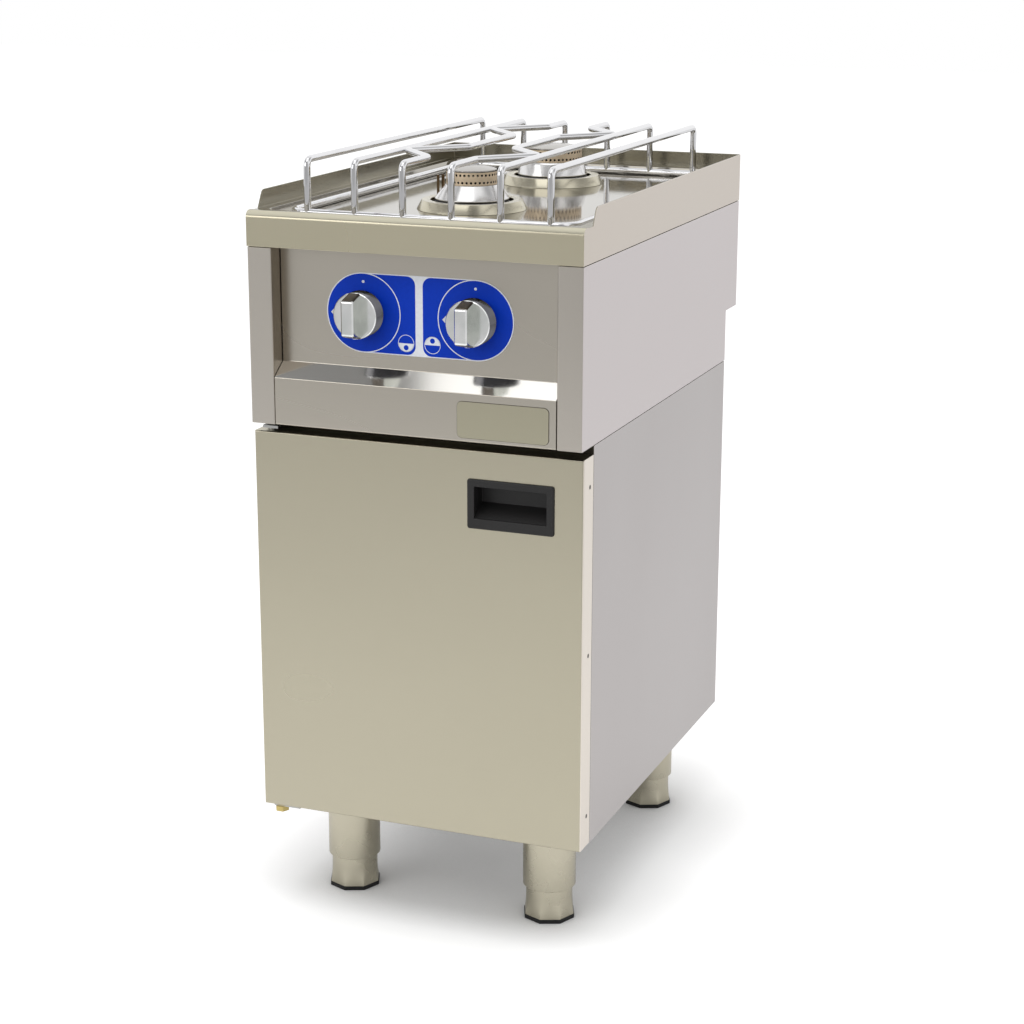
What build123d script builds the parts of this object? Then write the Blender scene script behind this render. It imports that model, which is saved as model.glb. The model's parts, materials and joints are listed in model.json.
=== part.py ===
from build123d import *
import math
import os

# A free-standing gas stove: two burners in a drawn worktop, over a cabinet with one door.
# Millimetres, +Z up, and the cook stands at -Y. The origin is on the floor, under the
# middle of the stove's footprint.

os.makedirs("parts", exist_ok=True)

# Sheets and clearances
SHEET = 1.2            # casing sheets
TOP_SHEET = 1.5        # worktop and control panel
BEND = 2.0             # outside radius of a fold
SEAM = 0.8             # open joint between two casings
SLIP = 0.3             # clearance of one sheet inside another
FIT = 0.05             # radial clearance of a shaft in its bore
REST = 0.3             # gap under a piece that only rests on its seat

# Overall sizes
WIDTH = 400.0
UNIT_DEPTH = 600.0
LEG_HEIGHT = 128.0
BASE_HEIGHT = 468.4
BASE_SETBACK = 48.5    # cabinet's back in front of the top unit's
BODY_HEIGHT = 201.2    # casing of the top unit, under the worktop
NOSE_HEIGHT = 40.0     # front edge of the worktop
UPSTAND = 18.8         # rim above the worktop at the sides and the back
NOTCH_HEIGHT = 65.0    # step under the top unit's back edge

# Control panel, measured back from the worktop's nose
PILLAR_SET = 1.0
PANEL_SET = 23.0
PILLAR_WIDTH = 30.0
APRON_HEIGHT = 54.8
LEDGE_RISE = 15.0
PANEL_GAP = 0.5
FLANGE = 18.0          # folded edges of the casings

# Knobs
KNOB_SPACING = 134.6
KNOB_DROP = 69.4       # knob axis under the casing's top edge
KNOB_STANDOFF = 5.0
KNOB_BODY = 20.0
KNOB_RADIUS = 26.0
GRIP_DEPTH = 20.0
GRIP_WIDTH = 15.0
GRIP_BASE_HALF = 25.5
GRIP_FRONT_HALF = 20.0
KNOB_EDGE = 1.0        # bevel of the knob's disc
GRIP_CORNER = 4.0      # rounding at the ends of the grip bar
GRIP_EDGE = 1.5        # bevel along the bar
SPINDLE_HOLE = 6.0     # hole for the spindle in the panel and the label
SKIRT_TIP = 36.5
SKIRT_THICKNESS = 3.0
PUSH_TRAVEL = 3.5
SPINDLE_RADIUS = 4.0
PUSH_ROD_RADIUS = 1.5

# Label and bare plate
LABEL_HEIGHT = 90.0
LABEL_THICKNESS = 0.5
BADGE_WIDTH = 108.0
BADGE_HEIGHT = 41.5
BADGE_CORNER = 6.0
BADGE_MARGIN = 8.4     # plate's right end inside the apron's
BADGE_RISE = 4.5       # plate's lower edge above the casing's
BADGE_THICKNESS = 0.8

# Worktop
NOSE_RADIUS = 8.0
NOSE_ROLL = 13.5       # depth of the raised roll along the nose
NOSE_STEP = 0.8        # its height over the strip behind it
RIM_STRIP = 14.0       # flat strip between the upstand and the basin
RIM_FRONT = 20.0       # the same at the front, roll included
BASIN_DEPTH = 9.5
BASIN_SLOPE = 6.0      # run of the basin's sloping wall
BASIN_CORNER = 14.0
UPSTAND_SETBACK = 29.0
UPSTAND_LEAN = 11.0
UPSTAND_CORNER = 8.0

# Burners
BURNER_PITCH = 266.0
FRONT_BURNER_SET = 177.0   # front burner behind the nose
RING_RADIUS = 64.0
RING_TOP_RADIUS = 58.0
RING_HEIGHT = 11.0
RING_BORE = 48.0
THROAT_RADIUS = 52.0       # hole in the basin
CUP_RADIUS = 43.0
CUP_WALL = 5.0
CUP_DEPTH = 52.0
CUP_FLANGE = 60.0
CUP_FLANGE_THICKNESS = 3.0
CUP_FLANGE_SIDES = 8
CUP_SIDES = 16             # sides of the cast cup and of its bores
CUP_DROP = 2.0             # cup's top under the drip ring's
CONE_LIFT = 11.5           # cone's rim above the basin
CONE_HEIGHT = 17.0
CONE_WALL = 2.5
CROWN_LAND = 8.0           # width of the seat under the flame ring
CROWN_LIP = 0.5            # seat's edge outside the flame ring
PORT_RING_WALL = 1.5
PORT_RING_HEIGHT = 15.0
PORT_RADIUS = 1.1
PORT_SIDES = 4
PORT_ROWS = (3.2, 11.5)    # rows of ports over the ring's lower edge
PORT_PITCH = 8.6
LID_THICKNESS = 2.0
LID_DOME = 4.0
DOME_SHARES = (0.7, 0.0)   # radii where the dome's slope changes
LID_OVERHANG = 1.0         # flame ring's edge outside the lid
LID_SPIGOT = 2.0           # height of the boss that locates the lid in the flame ring
CONE_RIM = {"front": 43.0, "rear": 43.5}
PORT_RING = {"front": 29.5, "rear": 37.0}
MIX_LENGTH = {"front": 84.0, "rear": 150.0}
MIX_RADIUS = 15.0
MIX_WALL = 3.0
MIX_RISE = 3.0             # mixing tube over the cup's underside
PILOT_ANGLE = 166.0        # pilot's place round the burner, from +X
PILOT_SPREAD = 6.0
SENSOR_RADIUS = 1.8
PILOT_RADIUS = 1.6
PILOT_TOP = 36.0
PILOT_BELOW = 18.0
PILOT_PLATE = 2.0
PILOT_PLATE_HALF = 9.0
JET_HEAD = 7.0

# Pan support
ROD = 4.0              # radius of the rod
ROD_SIDES = 8          # sides of a bent rod's section
PIPE_SIDES = 6         # sides of a pipe's section
ROD_SPACES = 5         # spaces between the rods that run front to back
ROD_MARGIN = 24.5      # outermost rods inside the loop's sides
ROD_BEND = 8.0
SUPPORT_HEIGHT = 67.3  # top of the rods above the basin's floor
LOOP_MARGIN = 10.0     # loop's side rods inside the basin's floor
LOOP_FRONT = 20.0      # loop's front rod inside the basin's floor
LOOP_BACK = 11.0       # loop's back rod inside the basin's floor
LOOP_CORNER = 22.0
SPREAD_LENGTH = 60.0   # half length of the spread at each burner

# Door
DOOR_SET = 7.0         # door's face behind the nose
DOOR_DEPTH = 32.0
DOOR_RISE = 1.0        # door's lower edge above the casing's
DOOR_TOP_GAP = 9.4
DOOR_FRAME_GAP = 1.0
HINGE_X = 17.0         # hinge axis from the door's left edge
HINGE_Y = 12.0         # hinge axis behind the door's face
HINGE_RETURN = 23.0    # depth of the door's left edge
HINGE_PIN = 4.0
HINGE_BUSH = 8.0
HINGE_BUSH_LENGTH = 11.0
HINGE_CUT = 12.0       # part of the door's back edge cut away beside the hinge
HINGE_PLATE = 3.0
HINGE_PLATE_LIFT = 3.0 # upper bracket over the door's top edge
HINGE_PLATE_EDGE = 5.0 # lower bracket in front of the hinge axis
HINGE_PLATE_REACH = 26.0
HINGE_PLATE_LAP = 14.0 # lower bracket behind the cabinet's front edge
HINGE_TAB = 2.0
HINGE_TAB_REACH = 11.0
HINGE_NUT_FLATS = 15.0
HINGE_NUT_THICKNESS = 6.0
LINER_BACK = 1.0       # liner's face inside the door's back edge
SCREW_HEAD = 2.6
SCREW_SHANK = 1.6
SCREW_LENGTH = 9.0
SCREW_INSET = 10.0     # door screws in front of the liner's face
SCREW_HEIGHTS = (0.08, 0.5, 0.925)
CATCH_INSET = 36.0     # catch from the cabinet's right side
CATCH_WIDTH = 42.0
CATCH_DROP = 6.0       # catch under the door's top edge
CATCH_HEIGHT = 14.0
STRIKE = 1.0
STRIKE_MARGIN = 1.0    # strike inside the catch's outline

# Door handle
HANDLE_WIDTH = 103.0
HANDLE_HEIGHT = 57.0
HANDLE_INSET = 85.1    # its centre from the door's right edge
HANDLE_DROP = 60.5     # its centre under the door's top edge
HANDLE_PROUD = 2.5
GRIP_HOLE_WIDTH = 85.6
GRIP_HOLE_HEIGHT = 36.6
GRIP_HOLE_DEPTH = 22.0
GRIP_HOLE_RISE = 14.0  # slope of the recess's floor
GRIP_HOLE_LIFT = 1.8   # recess over the flange's middle
HANDLE_CORNER = 3.0
CUP_SKIN = 2.0

# Legs
LEG_INSET = 72.0       # legs' axes inside the cabinet's sides
LEG_FRONT = 62.7       # front legs behind the base's front edge
LEG_BACK = 68.6        # rear legs before the base's back edge
LEG_RADIUS = 31.5
LEG_CAP = 3.0
FOOT_WALL = 2.0
LEG_TUBE = 78.0        # length of the tube that shows
LEG_BORE_SIDES = 16
FLOOR_PAN = 12.0       # depth of the base floor's folded edge
FOOT_RADIUS = 27.7
FOOT_FLARE = 31.25
FOOT_INSIDE = 60.0     # length of the foot inside its tube
PAD_THICKNESS = 3.0
FLARE_HEIGHT = 6.0
FOOT_SIDES = 8         # sides of the foot's flare and of its pad

# Cabinet rails
RAIL_DEPTH = 22.0
RAIL_DROP = 34.0

# Gas train
TAP_RADIUS = 12.0
TAP_LENGTH = 42.0
MAGNET_RADIUS = 9.0
MAGNET_LENGTH = 24.0
TAP_FLANGE = 15.0
TAP_FLANGE_THICKNESS = 4.0
OUTLET_RADIUS = 7.0
OUTLET_RISE = 27.0     # top of the tap's outlet over its axis
BOSS_RADIUS = 8.0
END_SLACK = 1.0        # room left behind a pushed-in shaft
SPINDLE_DEPTH = 24.0   # spindle's reach behind the panel's face
PUSH_ROD_LENGTH = 31.0
MANIFOLD_RADIUS = 10.0
MANIFOLD_DROP = 29.0
MANIFOLD_WALL = 2.0
FEED_RADIUS = 4.0
FEED_BEND = 14.4
FEED_STEP = 16.0       # half of the shortest run between two of its bends
INLET_RADIUS = 10.478  # half-inch pipe thread
INLET_THREAD = 22.0
INLET_INSET = 28.0     # inlet's axis from the top unit's right side
INLET_RISE = 34.8      # inlet's axis above the casing's lower edge
INLET_BEND = 24.0
INLET_RUN = 60.0       # manifold's last run inside the back
NUT_THICKNESS = 6.0
NUT_FLATS = 27.0
NUT_SIDES = 6

# Levels
z_base = LEG_HEIGHT
z_base_top = z_base + BASE_HEIGHT
z_unit = z_base_top + SEAM
z_unit_top = z_unit + BODY_HEIGHT
z_nose = z_unit_top + SEAM
z_roll = z_nose + NOSE_HEIGHT
z_top = z_roll - NOSE_STEP
z_basin = z_roll - BASIN_DEPTH
z_upstand = z_roll + UPSTAND
z_knob = z_unit_top - KNOB_DROP
z_notch = z_unit + NOTCH_HEIGHT
z_rod = z_basin + SUPPORT_HEIGHT - ROD
z_loop = z_basin + ROD + REST
z_mix = z_basin - CUP_DEPTH + MIX_RISE + MIX_RADIUS

# Depths: the footprint runs from the knobs' grips to the top unit's back
knob_reach = KNOB_STANDOFF + KNOB_BODY + GRIP_DEPTH - PANEL_SET
y_nose = knob_reach - (UNIT_DEPTH + knob_reach) / 2
y_back = y_nose + UNIT_DEPTH
y_pillar = y_nose + PILLAR_SET
y_panel = y_nose + PANEL_SET
y_door = y_nose + DOOR_SET
y_base = y_door + DOOR_DEPTH + DOOR_FRAME_GAP
y_base_back = y_back - BASE_SETBACK
y_burner = {"front": y_nose + FRONT_BURNER_SET}
y_burner["rear"] = y_burner["front"] + BURNER_PITCH
y_basin = (y_nose + RIM_FRONT, y_back - RIM_STRIP)
y_loop = (y_basin[0] + BASIN_SLOPE + LOOP_FRONT, y_basin[1] - BASIN_SLOPE - LOOP_BACK)

# Widths
half = WIDTH / 2
inner_half = half - SHEET
bay_half = half - PILLAR_WIDTH
x_basin = half - RIM_STRIP
x_loop = x_basin - BASIN_SLOPE - LOOP_MARGIN
rod_pitch = 2 * (x_loop - ROD_MARGIN) / ROD_SPACES
rod_corner = ROD / math.cos(math.pi / ROD_SIDES)
x_inlet = half - INLET_INSET
x_leg = half - LEG_INSET
x_handle = half - HANDLE_INSET
x_catch = (half - CATCH_INSET - CATCH_WIDTH, half - CATCH_INSET)
x_badge = bay_half - BADGE_MARGIN - BADGE_WIDTH / 2
knob_x = {"left": -KNOB_SPACING / 2, "right": KNOB_SPACING / 2}
x_hinge = -half + HINGE_X
y_hinge = y_door + HINGE_Y
z_door = (z_base + DOOR_RISE, z_base_top - DOOR_TOP_GAP)


def block(x_span, y_span, z_span):
    """A box between two limits on each axis."""
    spans = (x_span, y_span, z_span)
    size = [high - low for low, high in spans]
    middle = [(low + high) / 2 for low, high in spans]
    return Pos(*middle) * Box(*size)


def both(distance):
    """Limits at equal distances either side of zero."""
    return (-distance, distance)


def turned(outline):
    """A solid turned about Z from a closed outline of (radius, height) points."""
    section = Plane.XZ * make_face(Polyline(*outline, close=True))
    return revolve(section, axis=Axis.Z)


def prism(radius, low, high, sides=ROD_SIDES):
    """A many-sided bar about Z between two heights, with its corners on the radius."""
    return Pos(0, 0, low) * extrude(RegularPolygon(radius, sides), high - low)


def flat_prism(radius, low, high, sides=ROD_SIDES):
    """A many-sided bar or bore about Z between two heights, with its flats on the radius."""
    return Pos(0, 0, low) * extrude(RegularPolygon(radius, sides, major_radius=False), high - low)


def disc(radius, low, high):
    """A round bar about Z between two heights."""
    return Pos(0, 0, (low + high) / 2) * Cylinder(radius, high - low)


def folded(line, thickness, side=Side.RIGHT):
    """The section of a sheet bent along a line of points, on the given side of it."""
    path = FilletPolyline(*line, radius=BEND)
    return make_face(offset(path, amount=thickness, side=side))


def upright(section, low, high):
    """A plan section raised between two heights."""
    return Pos(0, 0, low) * extrude(section, high - low)


def across(section, x_span):
    """A side section of (y, z) points carried across the stove."""
    low, high = x_span
    return extrude(Plane.YZ.offset(low) * section, high - low)


def rod(path, radius, sides=ROD_SIDES):
    """A rod or pipe bent along a path: many-sided, its corners on the radius and a flat on top."""
    start = Plane(origin=path @ 0, z_dir=path % 0)
    return sweep(start * RegularPolygon(radius, sides, rotation=180 / sides), path=path)


def mirrored(shape):
    """The same piece on the other side of the stove."""
    return mirror(shape, about=Plane.YZ)


def facing_cook(x):
    """Location on the panel's face at a knob: local Z points to the cook, local Y up."""
    return Pos(x, y_panel, z_knob) * Rot(90, 0, 0)


def save(name, *pieces):
    """Write one named part; several pieces stay separate solids."""
    shape = pieces[0] if len(pieces) == 1 else Compound(children=list(pieces))
    export_step(shape, f"parts/{name}.step")


def frustum(base_half, top_half, y_base_span, y_top_span, low, high, corner):
    """A drawn hollow: a rounded rectangle at its floor and a larger one at its mouth."""
    sections = []
    for x_half, y_span, z in ((base_half, y_base_span, low), (top_half, y_top_span, high)):
        outline = RectangleRounded(2 * x_half, y_span[1] - y_span[0], corner)
        sections.append(Pos(0, sum(y_span) / 2, z) * outline)
    return loft(sections, ruled=True)


def make_worktop():
    """Drawn top: nose, skirts, basin with two throats, and the upstand on three sides."""
    skin = TOP_SHEET
    outside = block(both(half), (y_nose, y_back), (z_nose, z_roll))
    nose_edge = outside.edges().filter_by(Axis.X).group_by(Axis.Z)[-1].sort_by(Axis.Y)[0]
    outside = fillet(nose_edge, NOSE_RADIUS)
    behind_roll = (y_nose + NOSE_ROLL, y_back)
    outside -= block(both(half), behind_roll, (z_top, z_roll))
    inside = block(both(half - skin), (y_nose + skin, y_back - skin), (z_nose, z_top - skin))
    nose_edge = inside.edges().filter_by(Axis.X).group_by(Axis.Z)[-1].sort_by(Axis.Y)[0]
    inside = fillet(nose_edge, NOSE_RADIUS - skin)
    top = outside - inside
    lip_depth = PANEL_SET - 2 * SHEET
    top += block(both(half - skin), (y_nose + skin, y_nose + lip_depth), (z_nose, z_nose + SHEET))
    floor_half = x_basin - BASIN_SLOPE
    floor_span = (y_basin[0] + BASIN_SLOPE, y_basin[1] - BASIN_SLOPE)
    wider_floor = (floor_span[0] - skin, floor_span[1] + skin)
    wider_mouth = (y_basin[0] - skin, y_basin[1] + skin)
    top += frustum(floor_half + skin, x_basin + skin, wider_floor, wider_mouth,
                   z_basin - skin, z_top - skin / 2, BASIN_CORNER + skin)
    top -= frustum(floor_half, x_basin, floor_span, y_basin, z_basin, z_top, BASIN_CORNER)
    for y in y_burner.values():
        top -= Pos(0, y, 0) * disc(THROAT_RADIUS, z_basin - 2 * skin, z_top)
    return top + make_upstand()


def make_upstand():
    """Rim standing on the worktop's edge, with its front ends leaning back."""
    foot = z_top - TOP_SHEET
    y_foot = y_nose + UPSTAND_SETBACK
    y_corner = y_foot + UPSTAND_LEAN
    side = make_face(Polyline((y_foot, foot), (y_foot, z_top), (y_corner, z_upstand),
                              (y_back, z_upstand), (y_back, foot), close=True))
    lean_top = side.vertices().sort_by_distance((y_corner, z_upstand, 0))[0]
    side = fillet(lean_top, UPSTAND_CORNER)
    rim = across(side, both(half))
    hollow = block(both(inner_half), (y_nose, y_back - SHEET), (foot, z_upstand))
    return rim - hollow


def make_side_panel():
    """Left casing of the top unit, folded round the front into a pillar."""
    y_return = y_panel - PANEL_GAP
    line = [(-bay_half, y_return), (-bay_half, y_pillar), (-half, y_pillar),
            (-half, y_back), (-half + FLANGE, y_back)]
    panel = upright(folded(line, SHEET), z_unit, z_unit_top)
    under_notch = block((-half, 0), (y_base_back, y_back), (z_unit, z_notch))
    return panel - under_notch


def make_back_panel():
    """Back of the top unit, stepped forward in its lower part, with the inlet's hole."""
    y_low = y_base_back
    y_high = y_back - SHEET - SLIP
    line = [(y_low, z_unit + SHEET), (y_low, z_notch), (y_high, z_notch), (y_high, z_unit_top)]
    panel = across(folded(line, SHEET, Side.LEFT), both(inner_half - SLIP))
    inlet = Pos(x_inlet, y_low, z_unit + INLET_RISE) * Rot(90, 0, 0)
    return panel - inlet * flat_prism(INLET_RADIUS + SLIP, -2 * SHEET, 2 * SHEET)


def make_bottom_plate():
    """Heat shield under the burners, lying on the cabinet's top flanges."""
    span = (y_panel, y_base_back - SHEET - SLIP)
    return block(both(inner_half - SLIP), span, (z_base_top, z_base_top + SHEET))


def make_control_panel():
    """One sheet folded into the panel, its sloping ledge and the apron below."""
    z_apron = z_unit + APRON_HEIGHT
    line = [(y_panel + FLANGE, z_unit_top), (y_panel, z_unit_top),
            (y_panel, z_apron + LEDGE_RISE), (y_pillar, z_apron), (y_pillar, z_unit),
            (y_pillar + FLANGE - SLIP, z_unit)]
    panel = across(folded(line, TOP_SHEET, Side.LEFT), both(bay_half - PANEL_GAP))
    for x in knob_x.values():
        panel -= facing_cook(x) * prism(SPINDLE_HOLE, -2 * TOP_SHEET, TOP_SHEET)
    return panel


def make_label():
    """Thin stadium-shaped label behind both knobs."""
    outline = SlotCenterToCenter(KNOB_SPACING, LABEL_HEIGHT)
    for x in knob_x.values():
        outline -= Pos(x, 0) * RegularPolygon(SPINDLE_HOLE, ROD_SIDES)
    return facing_cook(0) * extrude(outline, LABEL_THICKNESS)


def make_badge():
    """Bare plate on the apron."""
    z_plate = z_unit + BADGE_RISE + BADGE_HEIGHT / 2
    outline = RectangleRounded(BADGE_WIDTH, BADGE_HEIGHT, BADGE_CORNER)
    face = Pos(x_badge, y_pillar, z_plate) * Rot(90, 0, 0)
    return face * extrude(outline, BADGE_THICKNESS)


def make_knob():
    """Knob about local Z: teardrop skirt, round body and a tapered grip bar."""
    back = KNOB_STANDOFF
    face = back + KNOB_BODY
    body = chamfer(disc(KNOB_RADIUS, back, face).edges().sort_by(Axis.Z)[-1], KNOB_EDGE)
    turn = math.acos(KNOB_RADIUS / SKIRT_TIP)
    touch = (-KNOB_RADIUS * math.cos(turn), KNOB_RADIUS * math.sin(turn))
    tip = make_face(Polyline((-SKIRT_TIP, 0), touch, (0, 0), (touch[0], -touch[1]), close=True))
    body += Pos(0, 0, back) * extrude(tip, SKIRT_THICKNESS)
    profile = Polyline((-GRIP_BASE_HALF, face), (GRIP_BASE_HALF, face),
                       (GRIP_FRONT_HALF, face + GRIP_DEPTH),
                       (-GRIP_FRONT_HALF, face + GRIP_DEPTH), close=True)
    grip = across(make_face(profile), both(GRIP_WIDTH / 2))
    front_edges = grip.edges().filter_by(Axis.X).group_by(Axis.Z)[-1]
    grip = fillet(front_edges, GRIP_CORNER)
    rim = grip.faces().sort_by(Axis.Z)[-1].edges().filter_by(Axis.Y)
    grip = chamfer(rim, GRIP_EDGE)
    return body + grip - flat_prism(SPINDLE_RADIUS, back, face - SKIRT_THICKNESS)


def make_spindle():
    """Tap spindle about local Z, from inside the knob to the push rod."""
    tip = KNOB_STANDOFF + KNOB_BODY - SKIRT_THICKNESS
    return disc(SPINDLE_RADIUS, -SPINDLE_DEPTH, tip)


def make_push_rod():
    """Thin rod that carries the spindle's push to the safety magnet."""
    front = -SPINDLE_DEPTH - FIT
    return prism(PUSH_ROD_RADIUS, front - PUSH_ROD_LENGTH, front, PIPE_SIDES)


def make_tap():
    """Gas tap about local Z: seated on the panel's back, boss down to the manifold, outlet up."""
    seat = -TOP_SHEET
    back = seat - TAP_LENGTH
    body = prism(TAP_FLANGE, seat - TAP_FLANGE_THICKNESS, seat) + prism(TAP_RADIUS, back, seat)
    body += prism(MAGNET_RADIUS, back - MAGNET_LENGTH, back, PIPE_SIDES)
    middle = -TAP_LENGTH / 2
    standing = Pos(0, 0, middle) * Rot(90, 0, 0)
    body += standing * prism(OUTLET_RADIUS, -OUTLET_RISE, 0)
    body += standing * prism(BOSS_RADIUS, 0, MANIFOLD_DROP)
    body -= manifold_in_tap()
    body -= flat_prism(SPINDLE_RADIUS + FIT, -SPINDLE_DEPTH - PUSH_TRAVEL - END_SLACK, 0)
    rod_end = SPINDLE_DEPTH + PUSH_ROD_LENGTH + PUSH_TRAVEL + END_SLACK
    return body - prism(PUSH_ROD_RADIUS + FIT, -rod_end, 0, PIPE_SIDES)


def manifold_in_tap():
    """The manifold's outline in the tap's own frame, to cope the boss."""
    along = Pos(0, -MANIFOLD_DROP, -TAP_LENGTH / 2) * Rot(0, 90, 0)
    return along * prism(MANIFOLD_RADIUS, -2 * BOSS_RADIUS, 2 * BOSS_RADIUS, PIPE_SIDES)


def make_manifold():
    """Pipe that feeds both taps, with its run to the threaded inlet at the back."""
    y = y_panel + TAP_LENGTH / 2
    z = z_knob - MANIFOLD_DROP
    z_inlet = z_unit + INLET_RISE
    y_end = y_base_back + NUT_THICKNESS + INLET_THREAD
    y_drop = y_base_back - INLET_RUN
    path = FilletPolyline((knob_x["left"] - 2 * MANIFOLD_RADIUS, y, z), (x_inlet, y, z),
                          (x_inlet, y_drop - INLET_BEND, z), (x_inlet, y_drop, z_inlet),
                          (x_inlet, y_end, z_inlet), radius=INLET_BEND)
    thread = Pos(x_inlet, y_end - INLET_THREAD / 2, z_inlet) * Rot(90, 0, 0)
    pipe = rod(path, MANIFOLD_RADIUS, PIPE_SIDES) + thread * Cylinder(INLET_RADIUS, INLET_THREAD)
    bore = prism(MANIFOLD_RADIUS - MANIFOLD_WALL, -INLET_THREAD / 2, INLET_THREAD / 2, PIPE_SIDES)
    return pipe - thread * bore


def make_inlet_nuts():
    """Lock nuts that hold the inlet in the back panel, one on each face."""
    flat = RegularPolygon(NUT_FLATS / 2, NUT_SIDES, major_radius=False)
    flat -= RegularPolygon(INLET_RADIUS, ROD_SIDES, major_radius=False)
    nuts = []
    for y in (y_base_back + NUT_THICKNESS, y_base_back - SHEET):
        place = Pos(x_inlet, y, z_unit + INLET_RISE) * Rot(90, 0, 0)
        nuts.append(place * extrude(flat, NUT_THICKNESS))
    return nuts


def make_burner_cup(which):
    """Cast burner body under the basin, with its mixing tube towards the panel."""
    top = z_basin + RING_HEIGHT - CUP_DROP
    bottom = z_basin - CUP_DEPTH
    seat = z_basin - TOP_SHEET
    bore = CUP_RADIUS - CUP_WALL
    flange = prism(CUP_FLANGE, seat - CUP_FLANGE_THICKNESS, seat, CUP_FLANGE_SIDES)
    slot = block((CUP_RADIUS - CUP_WALL, THROAT_RADIUS), both(PILOT_PLATE_HALF), (bottom, seat))
    cup = flat_prism(CUP_RADIUS, bottom, top, CUP_SIDES) + flange - Rot(0, 0, PILOT_ANGLE) * slot
    length = MIX_LENGTH[which]
    along = Pos(0, 0, z_mix) * Rot(90, 0, 0)
    cup += along * prism(MIX_RADIUS, 0, length)
    cup -= prism(bore, bottom + CUP_WALL, top - CUP_WALL, CUP_SIDES)
    cup -= flat_prism(bore + CONE_WALL, top - CUP_WALL, top, CUP_SIDES)
    cup -= along * prism(MIX_RADIUS - MIX_WALL, 0, length - CUP_WALL)
    cup -= along * prism(FEED_RADIUS, length - CUP_WALL, length, PIPE_SIDES)
    air_start = CUP_WALL - length
    cup -= block(both(MIX_RADIUS), (air_start, air_start + MIX_RADIUS),
                 (z_mix - MIX_RADIUS / 2, z_mix + MIX_RADIUS / 2))
    return Pos(0, y_burner[which], 0) * cup


def make_drip_ring(which):
    """Bevelled ring on the basin's floor round the burner."""
    low = z_basin
    top = low + RING_HEIGHT
    ring = turned([(RING_RADIUS, low), (RING_TOP_RADIUS, top), (RING_BORE, top),
                   (RING_BORE, top - SHEET), (RING_TOP_RADIUS - SHEET, top - SHEET),
                   (RING_RADIUS - SHEET, low)])
    return Pos(0, y_burner[which], 0) * ring


def make_cone(which):
    """Polished cone in the burner cup that carries the flame ring."""
    rim = CONE_RIM[which]
    crown = PORT_RING[which] + CROWN_LIP
    low = z_basin + CONE_LIFT
    top = low + CONE_HEIGHT
    sleeve = CUP_RADIUS - CUP_WALL + CONE_WALL - SLIP
    ledge = z_basin + RING_HEIGHT - CUP_DROP - CUP_WALL
    land = crown - CROWN_LAND
    cone = turned([(rim, low), (crown, top), (land, top), (sleeve - CONE_WALL, ledge),
                   (sleeve, ledge), (sleeve, low)])
    return Pos(0, y_burner[which], 0) * cone


def make_flame_ring(which):
    """Many-sided ring with two flame ports through each of its flats."""
    radius = PORT_RING[which]
    bore = radius - PORT_RING_WALL
    low = z_basin + CONE_LIFT + CONE_HEIGHT + SLIP
    count = 2 * round(math.pi * radius / PORT_PITCH)
    outline = RegularPolygon(radius, count) - RegularPolygon(bore, count, major_radius=False)
    ring = Pos(0, 0, low) * extrude(outline, PORT_RING_HEIGHT)
    port = Rot(0, 90, 0) * extrude(RegularPolygon(PORT_RADIUS, PORT_SIDES), 2 * PORT_RING_WALL)
    start = bore - PORT_RING_WALL / 2
    ports = []
    for step in range(count):
        turn = Rot(0, 0, 360 * (step + 1 / 2) / count)
        ports += [turn * Pos(start, 0, low + height) * port for height in PORT_ROWS]
    return Pos(0, y_burner[which], 0) * (ring - ports)


def make_lid(which):
    """Slightly domed lid, located inside the flame ring."""
    radius = PORT_RING[which] - LID_OVERHANG
    low = z_basin + CONE_LIFT + CONE_HEIGHT + SLIP + PORT_RING_HEIGHT
    edge = low + LID_THICKNESS
    spigot = PORT_RING[which] - PORT_RING_WALL - SLIP
    foot = low - LID_SPIGOT
    outline = [(0, foot), (spigot, foot), (spigot, low), (radius, low), (radius, edge)]
    for share in DOME_SHARES:
        outline.append((radius * share, edge + LID_DOME * (1 - share ** 2)))
    return Pos(0, y_burner[which], 0) * turned(outline)


def make_injector(which):
    """Brass jet in the mixing tube's closed end, with a hexagon outside."""
    mouth = y_burner[which] - MIX_LENGTH[which]
    place = Pos(0, mouth, z_mix) * Rot(90, 0, 0)
    jet = prism(FEED_RADIUS, -CUP_WALL, 0, PIPE_SIDES) + prism(JET_HEAD, 0, CUP_WALL, PIPE_SIDES)
    return place * jet


def make_feed_pipe(which, side):
    """Bent pipe, drawn without its bore, from a tap's outlet to its burner's jet."""
    y_tap = y_panel + TAP_LENGTH / 2
    z_outlet = z_knob + OUTLET_RISE
    y_jet = y_burner[which] - MIX_LENGTH[which] - CUP_WALL
    x = knob_x[side]
    y_run = y_jet - 2 * FEED_STEP
    corners = [(x, y_tap, z_outlet), (x, y_tap, z_mix)]
    if y_run - y_tap > 2 * FEED_STEP:
        corners.append((x, y_run, z_mix))
    corners += [(0, y_run, z_mix), (0, y_jet, z_mix)]
    path = FilletPolyline(*corners, radius=FEED_BEND)
    return rod(path, FEED_RADIUS, PIPE_SIDES)


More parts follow.
